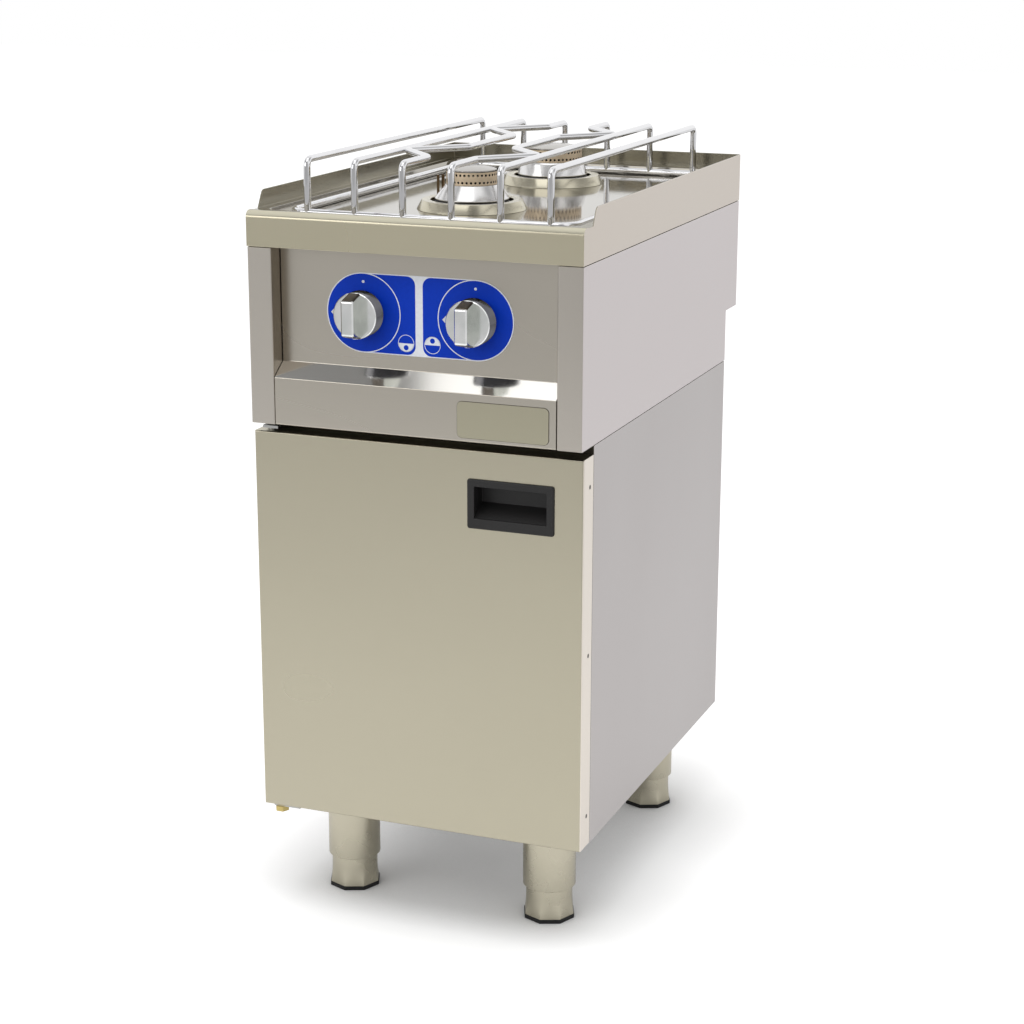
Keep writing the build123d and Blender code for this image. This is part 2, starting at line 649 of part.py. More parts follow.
def make_pilot(which):
    """Flame sensor and pilot tube beside the cone, on a bracket clamped to the cup."""
    top = z_basin + PILOT_TOP
    low = z_basin - PILOT_BELOW
    reach = (CUP_RADIUS + RING_BORE) / 2
    high = low + PILOT_PLATE
    plate = block((0, THROAT_RADIUS), both(PILOT_PLATE_HALF), (low, high))
    bracket = plate - Rot(0, 0, -PILOT_ANGLE) * flat_prism(CUP_RADIUS, low, high, CUP_SIDES)
    for turn, radius in ((-PILOT_SPREAD, SENSOR_RADIUS), (PILOT_SPREAD, PILOT_RADIUS)):
        bracket += Rot(0, 0, turn) * Pos(reach, 0, 0) * prism(radius, low, top)
    return Pos(0, y_burner[which], 0) * Rot(0, 0, PILOT_ANGLE) * bracket


def rod_corners(x):
    """Corner points of a support rod standing on the loop's front and back."""
    front, back = y_loop
    foot = z_loop + ROD
    return [(x, front, foot), (x, front, z_rod)], [(x, back, z_rod), (x, back, foot)]


def make_loop():
    """Closed loop of rod lying in the basin."""
    front, back = y_loop
    path = FilletPolyline((x_loop, front, z_loop), (x_loop, back, z_loop),
                          (-x_loop, back, z_loop), (-x_loop, front, z_loop),
                          radius=LOOP_CORNER, close=True)
    return rod(path.wire(), rod_corner)


def make_straight_rod(x):
    """Plain rod from front to back."""
    start, end = rod_corners(x)
    return rod(FilletPolyline(*start, *end, radius=ROD_BEND), rod_corner)


def make_spread_rod(side):
    """Middle rod that spreads out at each burner to touch its neighbour."""
    x = side * rod_pitch / 2
    gap = rod_pitch - 2 * ROD
    lean = math.atan2(gap, SPREAD_LENGTH)
    x_peak = x + side * (gap + ROD_BEND * (1 / math.cos(lean) - 1))
    start, end = rod_corners(x)
    corners = list(start)
    for y in y_burner.values():
        corners += [(x, y - SPREAD_LENGTH, z_rod), (x_peak, y, z_rod), (x, y + SPREAD_LENGTH, z_rod)]
    corners += end
    return rod(FilletPolyline(*corners, radius=ROD_BEND), rod_corner)


def make_base_side():
    """Left side of the cabinet with folded front and back edges."""
    line = [(-half + FLANGE, y_base), (-half, y_base), (-half, y_base_back),
            (-half + FLANGE, y_base_back)]
    return upright(folded(line, SHEET), z_base, z_base_top)


def make_base_back():
    """Back sheet of the cabinet, inside the sides' folds."""
    y = y_base_back - SHEET
    return block(both(inner_half - BEND), (y - SHEET, y), (z_base, z_base_top))


def make_base_floor():
    """Floor of the cabinet with its edges turned down."""
    x = inner_half - SLIP
    y_span = (y_base + SHEET, y_base_back - 2 * SHEET - SLIP)
    top = z_base + FLOOR_PAN + SHEET
    tray = block(both(x), y_span, (z_base, top))
    hollow = block(both(x - SHEET), (y_span[0] + SHEET, y_span[1] - SHEET), (z_base, top - SHEET))
    return tray - hollow


def make_base_rails():
    """Channels across the top of the cabinet, front and back."""
    front = y_base + SHEET
    back = y_base_back - 2 * SHEET - SLIP
    z_drop = z_base_top - RAIL_DROP
    x_span = both(inner_half - SLIP)
    front_line = [(front + RAIL_DEPTH, z_base_top), (front, z_base_top),
                  (front, z_drop), (front + RAIL_DEPTH, z_drop)]
    back_line = [(back - RAIL_DEPTH, z_base_top), (back, z_base_top), (back, z_drop)]
    front_rail = across(folded(front_line, SHEET, Side.LEFT), x_span)
    back_rail = across(folded(back_line, SHEET), x_span)
    return front_rail, back_rail


def make_door():
    """Door skin: a shallow pan with a narrower edge beside the hinge and a handle hole."""
    y_span = (y_door, y_door + DOOR_DEPTH)
    skin = block(both(half), y_span, z_door)
    front_edges = skin.faces().sort_by(Axis.Y)[0].edges()
    skin = fillet(front_edges, BEND)
    inside = block(both(half - SHEET), (y_door + SHEET, y_span[1]),
                   (z_door[0] + SHEET, z_door[1] - SHEET))
    skin -= inside
    skin -= block((-half, -half + HINGE_CUT), (y_door + HINGE_RETURN, y_span[1]), z_door)
    z_recess = z_door[1] - HANDLE_DROP + GRIP_HOLE_LIFT
    room = CUP_SKIN + SLIP
    recess = block(both(GRIP_HOLE_WIDTH / 2 + room), (y_door, y_door + 2 * SHEET),
                   both(GRIP_HOLE_HEIGHT / 2 + room))
    skin -= Pos(x_handle, 0, z_recess) * recess
    for z in (z_door[0], z_door[1] - SHEET):
        skin -= Pos(x_hinge, y_hinge, 0) * flat_prism(HINGE_PIN + FIT, z, z + SHEET)
    for place in screw_places():
        skin -= place * prism(SCREW_HEAD, -2 * SHEET, SHEET)
    return skin


def screw_places():
    """Screws in the door's right edge, local Z pointing out of the edge."""
    y = y_door + DOOR_DEPTH - LINER_BACK - SCREW_INSET
    height = z_door[1] - z_door[0]
    return [Pos(half, y, z_door[0] + height * share) * Rot(0, 90, 0) for share in SCREW_HEIGHTS]


def make_door_screws():
    """Countersunk screws that hold the liner in the door."""
    screws = []
    for place in screw_places():
        head = prism(SCREW_HEAD, -SHEET, 0)
        shank = prism(SCREW_SHANK, -SCREW_LENGTH, -SHEET)
        screws.append(place * (head + shank))
    return screws


def make_liner():
    """Sheet that closes the door's back, folded forward along its right edge."""
    y = y_door + DOOR_DEPTH - LINER_BACK
    x_right = half - SHEET - SLIP
    line = [(-half + HINGE_CUT + SLIP, y), (x_right, y), (x_right, y - FLANGE)]
    sheet = upright(folded(line, SHEET), z_door[0] + SHEET + SLIP, z_door[1] - SHEET - SLIP)
    for place in screw_places():
        sheet -= place * prism(SCREW_SHANK, -SCREW_LENGTH, 0)
    return sheet


def make_handle():
    """Recessed grip: a flange on the door's face and a cup whose floor slopes up."""
    z_handle = z_door[1] - HANDLE_DROP
    low = z_handle + GRIP_HOLE_LIFT - GRIP_HOLE_HEIGHT / 2
    high = low + GRIP_HOLE_HEIGHT
    front = y_door - HANDLE_PROUD
    back = y_door + GRIP_HOLE_DEPTH
    face = Pos(x_handle, y_door, z_handle) * Rot(90, 0, 0)
    flange = face * extrude(RectangleRounded(HANDLE_WIDTH, HANDLE_HEIGHT, HANDLE_CORNER), HANDLE_PROUD)
    rim = flange.faces().sort_by(Axis.Y)[0].edges()
    flange = chamfer(rim, HANDLE_PROUD / 2)
    skin = CUP_SKIN
    width = GRIP_HOLE_WIDTH / 2
    outer = Polyline((y_door, low - skin), (y_door, high + skin), (back + skin, high + skin),
                     (back + skin, low + GRIP_HOLE_RISE - skin), close=True)
    inner = Polyline((front, low), (front, high), (back, high), (back, low + GRIP_HOLE_RISE),
                     (y_door, low), close=True)
    x_mid = x_handle
    cup = across(make_face(outer), (x_mid - width - skin, x_mid + width + skin))
    hollow = across(make_face(inner), (x_mid - width, x_mid + width))
    return flange + cup - hollow


def make_hinge_bushes():
    """Many-sided bushes inside the door's lower and upper edge."""
    bushes = []
    low = z_door[0] + SHEET
    high = z_door[1] - SHEET
    for z in ((low, low + HINGE_BUSH_LENGTH), (high - HINGE_BUSH_LENGTH, high)):
        bush = prism(HINGE_BUSH, *z) - flat_prism(HINGE_PIN + FIT, *z)
        bushes.append(Pos(x_hinge, y_hinge, 0) * bush)
    return bushes


def make_top_hinge():
    """Bracket on the cabinet's front edge with the pin that enters the door from above."""
    x_span = (x_hinge - HINGE_BUSH, x_hinge + HINGE_TAB_REACH)
    low = z_door[1] + HINGE_PLATE_LIFT
    plate = block(x_span, (y_hinge - HINGE_BUSH, y_base), (low, low + HINGE_PLATE))
    plate += block(x_span, (y_base - HINGE_TAB, y_base), (low, z_base_top - SLIP))
    pin = Pos(x_hinge, y_hinge, 0) * disc(HINGE_PIN, z_door[1] - HINGE_BUSH_LENGTH, low)
    return plate + pin


def make_bottom_hinge():
    """Bracket under the cabinet with the pin that the door turns on."""
    x_span = (x_hinge - HINGE_BUSH, x_hinge + HINGE_PLATE_REACH)
    y_span = (y_hinge - HINGE_PLATE_EDGE, y_base + HINGE_PLATE_LAP)
    plate = block(x_span, y_span, (z_base - HINGE_PLATE, z_base))
    low = z_base - HINGE_PLATE - HINGE_NUT_THICKNESS
    pin = Pos(x_hinge, y_hinge, 0) * disc(HINGE_PIN, low, z_door[0] + HINGE_BUSH_LENGTH)
    return plate + pin


def make_hinge_nut():
    """Nut under the lower bracket and the washer that the door stands on."""
    flat = RegularPolygon(HINGE_NUT_FLATS / 2, NUT_SIDES, major_radius=False)
    flat -= RegularPolygon(HINGE_PIN, ROD_SIDES, major_radius=False)
    low = z_base - HINGE_PLATE - HINGE_NUT_THICKNESS
    nut = Pos(x_hinge, y_hinge, low) * extrude(flat, HINGE_NUT_THICKNESS)
    washer = prism(HINGE_BUSH, z_base, z_door[0] - SLIP) - flat_prism(HINGE_PIN, z_base, z_door[0])
    return nut, Pos(x_hinge, y_hinge, 0) * washer


def make_catch():
    """Magnetic catch on the front rail."""
    y_face = y_door + DOOR_DEPTH - LINER_BACK + STRIKE + REST
    top = z_door[1] - CATCH_DROP
    return block(x_catch, (y_face, y_base + SHEET), (top - CATCH_HEIGHT, top))


def make_strike():
    """Steel strike on the liner, facing the catch."""
    y = y_door + DOOR_DEPTH - LINER_BACK
    margin = STRIKE_MARGIN
    top = z_door[1] - CATCH_DROP
    x_span = (x_catch[0] + margin, x_catch[1] - margin)
    return block(x_span, (y, y + STRIKE), (top - CATCH_HEIGHT + margin, top - margin))


def leg_places():
    """Centres of the four legs, by name."""
    y_front = y_base + LEG_FRONT
    y_rear = y_base_back - LEG_BACK
    return {"front_left": Pos(-x_leg, y_front, 0), "front_right": Pos(x_leg, y_front, 0),
            "rear_left": Pos(-x_leg, y_rear, 0), "rear_right": Pos(x_leg, y_rear, 0)}


def make_leg_tube():
    """Leg tube closed at its top under the cabinet's floor, with the foot's bore."""
    top = z_base + FLOOR_PAN
    low = z_base - LEG_TUBE
    return disc(LEG_RADIUS, low, top) - flat_prism(FOOT_RADIUS + FIT, low, top - LEG_CAP, LEG_BORE_SIDES)


def make_foot():
    """Foot that slides in the leg: a round tube, many-sided inside, flaring into an octagon."""
    shoulder = PAD_THICKNESS + FLARE_HEIGHT
    neck = shoulder + FLARE_HEIGHT
    top = z_base - LEG_TUBE + FOOT_INSIDE
    tube = disc(FOOT_RADIUS, neck, top) - prism(FOOT_RADIUS - FOOT_WALL, neck, top)
    octagon = RegularPolygon(FOOT_FLARE, FOOT_SIDES)
    base = Pos(0, 0, PAD_THICKNESS) * extrude(octagon, FLARE_HEIGHT)
    flare = loft([Pos(0, 0, shoulder) * octagon, Pos(0, 0, neck) * Circle(FOOT_RADIUS)])
    return base + flare + tube


def make_pad():
    """Black pad under a foot."""
    return extrude(RegularPolygon(FOOT_FLARE, FOOT_SIDES), PAD_THICKNESS)


def write_top_unit():
    side = make_side_panel()
    save("worktop", make_worktop())
    save("left_side_panel", side)
    save("right_side_panel", mirrored(side))
    save("back_panel", make_back_panel())
    save("bottom_plate", make_bottom_plate())
    save("control_panel", make_control_panel())
    save("control_label", make_label())
    save("badge_plate", make_badge())


def write_controls():
    for side, x in knob_x.items():
        place = facing_cook(x)
        save(f"{side}_knob", place * make_knob())
        save(f"{side}_spindle", place * make_spindle())
        save(f"{side}_push_rod", place * make_push_rod())
        save(f"{side}_gas_tap", place * make_tap())
    save("gas_manifold", make_manifold())
    save("inlet_lock_nuts", *make_inlet_nuts())


def write_burners():
    for which, side in (("front", "left"), ("rear", "right")):
        save(f"{which}_burner_cup", make_burner_cup(which))
        save(f"{which}_drip_ring", make_drip_ring(which))
        save(f"{which}_burner_cone", make_cone(which))
        save(f"{which}_flame_ring", make_flame_ring(which))
        save(f"{which}_burner_lid", make_lid(which))
        save(f"{which}_feed_pipe", make_feed_pipe(which, side))
    save("injectors", make_injector("front"), make_injector("rear"))
    save("pilots", make_pilot("front"), make_pilot("rear"))


def write_pan_support():
    straight = [make_straight_rod(side * x * rod_pitch / 2) for side in (-1, 1) for x in (3, 5)]
    spread = [make_spread_rod(side) for side in (-1, 1)]
    save("support_loop", make_loop())
    save("support_straight_rods", *straight)
    save("support_spread_rods", *spread)


def write_base():
    side = make_base_side()
    front_rail, back_rail = make_base_rails()
    save("base_left_side", side)
    save("base_right_side", mirrored(side))
    save("base_back", make_base_back())
    save("base_floor", make_base_floor())
    save("base_rails", front_rail, back_rail)
    save("leg_tubes", *[place * make_leg_tube() for place in leg_places().values()])
    for name, place in leg_places().items():
        save(f"{name}_foot", place * make_foot())
        save(f"{name}_pad", place * make_pad())


def write_door():
    save("door_skin", make_door())
    save("door_liner", make_liner())
    save("door_handle", make_handle())
    save("door_screws", *make_door_screws())
    save("door_bushes", *make_hinge_bushes())
    save("door_strike", make_strike())
    save("door_catch", make_catch())
    save("top_hinge", make_top_hinge())
    save("bottom_hinge", make_bottom_hinge())
    save("hinge_nut_and_washer", *make_hinge_nut())


write_top_unit()
write_controls()
write_burners()
write_pan_support()
write_base()
write_door()
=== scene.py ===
import json
import math

import bmesh
import bpy
from mathutils import Matrix, Vector

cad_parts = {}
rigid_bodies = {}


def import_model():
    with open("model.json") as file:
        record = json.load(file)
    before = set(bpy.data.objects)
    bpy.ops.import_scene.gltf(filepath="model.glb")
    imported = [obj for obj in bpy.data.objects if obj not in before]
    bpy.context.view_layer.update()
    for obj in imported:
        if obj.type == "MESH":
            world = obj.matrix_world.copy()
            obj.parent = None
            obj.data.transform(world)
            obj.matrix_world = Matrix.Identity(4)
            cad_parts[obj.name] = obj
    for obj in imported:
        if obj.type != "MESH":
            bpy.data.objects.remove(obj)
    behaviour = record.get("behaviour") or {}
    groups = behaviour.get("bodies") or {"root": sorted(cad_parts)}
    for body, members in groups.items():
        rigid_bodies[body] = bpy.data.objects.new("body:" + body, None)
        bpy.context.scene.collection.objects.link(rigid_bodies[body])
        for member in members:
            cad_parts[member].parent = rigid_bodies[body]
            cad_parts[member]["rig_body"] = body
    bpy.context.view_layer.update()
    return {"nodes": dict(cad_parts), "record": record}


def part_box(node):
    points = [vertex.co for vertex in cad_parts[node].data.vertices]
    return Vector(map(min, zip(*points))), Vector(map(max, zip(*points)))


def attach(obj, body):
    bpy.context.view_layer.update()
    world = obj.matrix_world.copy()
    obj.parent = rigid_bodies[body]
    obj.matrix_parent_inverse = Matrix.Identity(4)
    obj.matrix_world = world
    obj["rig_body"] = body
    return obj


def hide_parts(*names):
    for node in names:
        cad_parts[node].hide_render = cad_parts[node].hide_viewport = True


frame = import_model()
scene = bpy.context.scene

MM = 0.001
TURN = 2 * math.pi
SAME_POINT = 1e-6

# Corners of turned outlines
TURNED_SIDES = 96
CORNER_STEPS = 4
CORNER_SHARE = 0.45
NEARLY_STRAIGHT = math.radians(175)

# Sheet metal, and how far in from a side a face still takes that side's finish
SHEET_EDGE = 0.5 * MM
OUTER_SKIN = 0.6 * MM
FACING = 0.7
NOSE_DEPTH = 16 * MM
NOSE_EDGE_DEPTH = 7 * MM
BASIN_FROM_FRONT = 19 * MM
BASIN_FROM_SIDE = 13 * MM
BASIN_BELOW = 0.3 * MM
BASIN_ABOVE = 9.2 * MM
CASING_RETURN = 2 * MM
FRONT_FLANGE = 1 * MM
DOOR_EDGE = 9 * MM

# Pan support
ROD = 4 * MM
ROD_SIDES = 20
ROD_BEND = 8 * MM
BEND_STEPS = 8
LOOP_CORNER = 22 * MM
SPREAD_LENGTH = 60 * MM
ROD_PLACES = (-2.5, -1.5, 1.5, 2.5)

# Flame ports
PORT = 1.4 * MM
PORT_EDGE = 0.25 * MM
PORT_WALL = 1.5 * MM
PORT_ROWS = (3.3 * MM, 11.6 * MM)
PORT_COUNT = {"front": 36, "rear": 44}
DARK_INSIDE_DEPTH = 0.4 * MM

# Burner lid, cone and drip ring
LID_PLAY = 0.3 * MM
LID_CHAMFER = 2 * MM
LID_EDGE = 2 * MM
DOME_STEPS = 12
CONE_HEIGHT = 17 * MM
CONE_FOOT = 1.5 * MM
CONE_LIP = 0.5 * MM
CONE_NECK = 2 * MM
CONE_SEAT = 8 * MM
CONE_SLEEVE = 40.2 * MM
CONE_WALL = 2.5 * MM
DRIP_SHEET = 1.2 * MM
DRIP_SHOULDER = 58 * MM
DRIP_HOLE = 48 * MM
DRIP_SIDES = 128

# Label, in its own plane round each knob's axis
LABEL_EDGE = 45 * MM
LABEL_LINE = 1.1 * MM
LABEL_STRIP = 4.5 * MM
LABEL_CORNER = 10 * MM
LABEL_INK = 0.12 * MM
INDEX_RISE = 35 * MM
INDEX_DOT = 1.6 * MM
ICON = 9.7 * MM
ICON_LINE = 0.6 * MM
ICON_SIDE = 15.9 * MM
ICON_DROP = 31 * MM
ICON_DOT = 2.9 * MM

# Knobs: length of the round body, from its back; the grip bar stands before it
KNOB_BODY = 19 * MM

# Legs; the foot's flare goes by shares at heights in millimetres
LEG_RADIUS = 31.5 * MM
LEG_BORE = 27.75 * MM
LEG_BORE_DEPTH = 20 * MM
LEG_SLEEVE = 9 * MM
FOOT_NECK = 27.7 * MM
FOOT_FLARE = ((1, 0), (1, 1), (0.94, 3), (0.8, 6), (0.6, 9.5), (0.4, 13), (0.2, 17), (0.07, 20.5), (0, 24))
FOOT_LIP = 2 * MM
FOOT_EDGE = 0.4 * MM
PAD_LIP = 2 * MM
PAD_GROWTH = 1.025

# Metal grain: waves to the metre, and how many times longer than wide a mark is
FINE_GRAIN = 2400
STREAK = 220
RING_STREAK = 30
NOISE_SPAN = (0.3, 0.7)

# Floor, in metres, and how brightly it shows
FLOOR_REACH = 14
FLOOR_FAR = -3.6
FLOOR_NEAR = -0.5
FLOOR_GLOW = 0.7
FLOOR_MIRRORED_GLOW = 0.36
FLOOR_SHADE_REACH = 0.2
FLOOR_SHADE_POWER = 1.9
FLOOR_WHITE = 0.73
FRONT_FLOOR = 0.62

# World: brightness of its zones, and where along a direction one zone passes to the next
WORLD_LIGHT = 0.6
CEILING = 0.15
CEILING_BACK = 0.8
CEILING_RISE = (0.82, 0.92)
CEILING_RIGHT = (-0.04, 0.08)
CEILING_REAR = (-0.2, 0.0)
HORIZON_RISE = (0.3, 0.5)
HORIZON_REAR = (-0.7, -0.1)
BACK_WALL = 1.0
FRONT_WALL = 0.42
# Walls: degrees round from the front towards the right, and the brightness there
WALLS = ((-112, 1.0), (-88, 0.7), (-50, 0.3), (-20, 0.5), (8, 0.42), (24, 0.2), (38, 0.35),
         (50, 1.0), (74, 1.0), (92, 0.5), (108, 0.38), (124, 0.45), (142, 0.75), (162, 1.0))

# Card overhead
SOFTBOX = 1.5
SOFTBOX_LOW = (-0.62, -1.3)
SOFTBOX_HIGH = (0.3, -0.2)
SOFTBOX_HEIGHT = 2.09

# Camera
LENS = 79.04
SENSOR = 36.0
CAMERA_AT = (0.98548, -2.51093, 1.16924)
AZIMUTH = math.radians(21.3)
TILT = math.radians(74.85)
ROLL = math.radians(0.128)


# Meshes

def linked(name, mesh):
    """A new object for a mesh, in the scene."""
    piece = bpy.data.objects.new(name, mesh)
    scene.collection.objects.link(piece)
    return piece


def from_bmesh(name, shape, smooth_angle=35):
    """A new object from a bmesh, smooth except across sharper edges."""
    mesh = bpy.data.meshes.new(name)
    shape.to_mesh(mesh)
    shape.free()
    mesh.shade_smooth()
    mesh.set_sharp_from_angle(angle=math.radians(smooth_angle))
    return linked(name, mesh)


def plain(source, name):
    """The evaluated shape of an object as a plain mesh; the object itself is removed."""
    graph = bpy.context.evaluated_depsgraph_get()
    mesh = bpy.data.meshes.new_from_object(source.evaluated_get(graph))
    bpy.data.objects.remove(source)
    mesh.name = name
    return linked(name, mesh)


def softened(piece, width, segments=2, angle=32):
    """The piece with its edges rounded and its flats shaded flat."""
    name = piece.name
    bevel = piece.modifiers.new("edges", "BEVEL")
    bevel.width = width
    bevel.segments = segments
    bevel.limit_method = "ANGLE"
    bevel.angle_limit = math.radians(angle)
    bevel.miter_outer = "MITER_ARC"
    weighted = piece.modifiers.new("flats", "WEIGHTED_NORMAL")
    weighted.keep_sharp = True
    piece.name = name + ".rough"
    return plain(piece, name)


def merged_copy(node):
    """A bmesh copy of a CAD node with its triangles merged back into flat faces."""
    shape = bmesh.new()
    shape.from_mesh(frame["nodes"][node].data)
    bmesh.ops.remove_doubles(shape, verts=shape.verts, dist=SAME_POINT)
    bmesh.ops.dissolve_limit(shape, angle_limit=math.radians(1), verts=shape.verts, edges=shape.edges)
    return shape


def joined(name, *pieces):
    """Several plain pieces as one, keeping each one's material."""
    shape = bmesh.new()
    materials = []
    for piece in pieces:
        start = len(shape.faces)
        shape.from_mesh(piece.data)
        shape.faces.ensure_lookup_table()
        for face in shape.faces[start:]:
            material = piece.data.materials[face.material_index] if piece.data.materials else None
            if material not in materials:
                materials.append(material)
            face.material_index = materials.index(material)
    mesh = bpy.data.meshes.new(name)
    shape.to_mesh(mesh)
    shape.free()
    for material in materials:
        mesh.materials.append(material)
    for piece in pieces:
        bpy.data.objects.remove(piece)
    return linked(name, mesh)


def circle(centre, radius, sides=TURNED_SIDES):
    """Points of a circle, as pairs in its plane."""
    points = []
    for k in range(sides):
        angle = TURN * k / sides
        points.append((centre[0] + radius * math.cos(angle), centre[1] + radius * math.sin(angle)))
    return points


def bridge(shape, one, other):
    """A band of faces between two closed loops of as many points."""
    for k in range(len(one)):
        n = (k + 1) % len(one)
        shape.faces.new((one[k], one[n], other[n], other[k]))


def rounded(outline, radius):
    """The corners of an open outline of (r, z) points replaced by small arcs."""
    result = [outline[0]]
    for before, corner, after in zip(outline, outline[1:], outline[2:]):
        corner = Vector(corner)
        into = Vector(before) - corner
        away = Vector(after) - corner
        angle = into.angle(away)
        reach = min(radius / math.tan(angle / 2), CORNER_SHARE * into.length, CORNER_SHARE * away.length)
        size = reach * math.tan(angle / 2)
        if size < SAME_POINT or angle > NEARLY_STRAIGHT:
            result.append(tuple(corner))
            continue
        start = corner + into.normalized() * reach
        end = corner + away.normalized() * reach
        halfway = (into.normalized() + away.normalized()).normalized()
        centre = corner + halfway * math.hypot(reach, size)
        for step in range(CORNER_STEPS + 1):
            share = step / CORNER_STEPS
            point = (start - centre).lerp(end - centre, share).normalized() * size + centre
            result.append(tuple(point))
    result.append(outline[-1])
    return result


def turned(name, outline, place, segments=TURNED_SIDES):
    """A piece turned about a vertical axis from (r, z) points, closed where it meets the axis."""
    shape = bmesh.new()
    rings = []
    for radius, height in outline:
        points = circle(place, radius, segments)
        if radius < SAME_POINT:
            points = points[:1]
        rings.append([shape.verts.new((x, y, place[2] + height)) for x, y in points])
    for lower, upper in zip(rings, rings[1:]):
        for k in range(segments):
            following = (k + 1) % segments
            corners = [lower[k % len(lower)], lower[following % len(lower)],
                       upper[following % len(upper)], upper[k % len(upper)]]
            corners = list(dict.fromkeys(corners))
            if len(corners) > 2:
                shape.faces.new(corners)
    bmesh.ops.recalc_face_normals(shape, faces=shape.faces)
    return from_bmesh(name, shape)


# Nodes, and the trees for what repeats or follows a path

def feed(tree, socket, value):
    """Sets an input to a number, or links it to an output."""
    if isinstance(value, (int, float)):
        socket.default_value = value
    else:
        tree.links.new(value, socket)


def math_node(tree, operation, one, other):
    """The output of a maths node whose inputs are outputs or numbers."""
    node = tree.nodes.new("ShaderNodeMath")
    node.operation = operation
    feed(tree, node.inputs[0], one)
    feed(tree, node.inputs[1], other)
    return node.outputs[0]


def map_node(tree, value, start, end, low, high):
    """A value brought from start..end to low..high."""
    node = tree.nodes.new("ShaderNodeMapRange")
    for label, number in (("From Min", start), ("From Max", end), ("To Min", low), ("To Max", high)):
        node.inputs[label].default_value = number
    tree.links.new(value, node.inputs["Value"])
    return node.outputs[0]


def blend_node(tree, share, low, high):
    """A value between two, by a share from 0 to 1."""
    node = tree.nodes.new("ShaderNodeMix")
    feed(tree, node.inputs[0], share)
    feed(tree, node.inputs[2], low)
    feed(tree, node.inputs[3], high)
    return node.outputs[0]


def new_tree(name, sizes):
    """An empty geometry tree with a geometry input, named size inputs and a material input."""
    tree = bpy.data.node_groups.new(name, "GeometryNodeTree")
    tree.interface.new_socket("Geometry", in_out="INPUT", socket_type="NodeSocketGeometry")
    for label, kind in sizes:
        tree.interface.new_socket(label, in_out="INPUT", socket_type=kind)
    tree.interface.new_socket("Finish", in_out="INPUT", socket_type="NodeSocketMaterial")
    tree.interface.new_socket("Geometry", in_out="OUTPUT", socket_type="NodeSocketGeometry")
    return tree, tree.nodes.new("NodeGroupInput"), tree.nodes.new("NodeGroupOutput")


def end_tree(tree, inputs, outputs, geometry):
    """Realizes, smooths and finishes the tree's geometry."""
    realize = tree.nodes.new("GeometryNodeRealizeInstances")
    smooth = tree.nodes.new("GeometryNodeSetShadeSmooth")
    finish = tree.nodes.new("GeometryNodeSetMaterial")
    tree.links.new(geometry, realize.inputs[0])
    tree.links.new(realize.outputs[0], smooth.inputs["Geometry"])
    tree.links.new(smooth.outputs[0], finish.inputs["Geometry"])
    tree.links.new(inputs.outputs["Finish"], finish.inputs["Material"])
    tree.links.new(finish.outputs[0], outputs.inputs[0])
    return tree


def bent_rod_tree():
    """Round rods that follow the corners of a wire mesh, with rounded bends."""
    tree, inputs, outputs = new_tree("bent_rods", (("Rod radius", "NodeSocketFloat"),
                                                   ("Bend radius", "NodeSocketFloat")))
    to_curve = tree.nodes.new("GeometryNodeMeshToCurve")
    fillet = tree.nodes.new("GeometryNodeFilletCurve")
    fillet.mode = "POLY"
    fillet.inputs["Count"].default_value = BEND_STEPS
    fillet.inputs["Limit Radius"].default_value = True
    ring = tree.nodes.new("GeometryNodeCurvePrimitiveCircle")
    ring.inputs["Resolution"].default_value = ROD_SIDES
    skin = tree.nodes.new("GeometryNodeCurveToMesh")
    skin.inputs["Fill Caps"].default_value = True
    link = tree.links.new
    link(inputs.outputs["Geometry"], to_curve.inputs["Mesh"])
    link(to_curve.outputs["Curve"], fillet.inputs["Curve"])
    link(inputs.outputs["Bend radius"], fillet.inputs["Radius"])
    link(inputs.outputs["Rod radius"], ring.inputs["Radius"])
    link(fillet.outputs["Curve"], skin.inputs["Curve"])
    link(ring.outputs["Curve"], skin.inputs["Profile Curve"])
    return end_tree(tree, inputs, outputs, skin.outputs["Mesh"])


def round_pattern_tree():
    """Copies of a cell turned round the vertical axis, joined where they meet."""
    tree, inputs, outputs = new_tree("round_pattern", (("Count", "NodeSocketInt"),))
    points = tree.nodes.new("GeometryNodePoints")
    index = tree.nodes.new("GeometryNodeInputIndex")
    share = math_node(tree, "DIVIDE", index.outputs[0], inputs.outputs["Count"])
    turn = tree.nodes.new("ShaderNodeCombineXYZ")
    copies = tree.nodes.new("GeometryNodeInstanceOnPoints")
    realize = tree.nodes.new("GeometryNodeRealizeInstances")
    weld = tree.nodes.new("GeometryNodeMergeByDistance")
    weld.inputs["Distance"].default_value = SAME_POINT
    link = tree.links.new
    link(inputs.outputs["Count"], points.inputs["Count"])
    link(math_node(tree, "MULTIPLY", share, TURN), turn.inputs["Z"])
    link(points.outputs[0], copies.inputs["Points"])
    link(inputs.outputs["Geometry"], copies.inputs["Instance"])
    link(turn.outputs[0], copies.inputs["Rotation"])
    link(copies.outputs[0], realize.inputs[0])
    link(realize.outputs[0], weld.inputs["Geometry"])
    return end_tree(tree, inputs, outputs, weld.outputs[0])


def grown(source, name, tree, **values):
    """The source with a tree applied, as a plain mesh; values go in by input name."""
    modifier = source.modifiers.new(tree.name, "NODES")
    modifier.node_group = tree
    wanted = {label.replace("_", " "): value for label, value in values.items()}
    for socket in tree.interface.items_tree:
        if socket.item_type == "SOCKET" and socket.in_out == "INPUT" and socket.name in wanted:
            modifier[socket.identifier] = wanted[socket.name]
    source.name = name + ".rough"
    return plain(source, name)


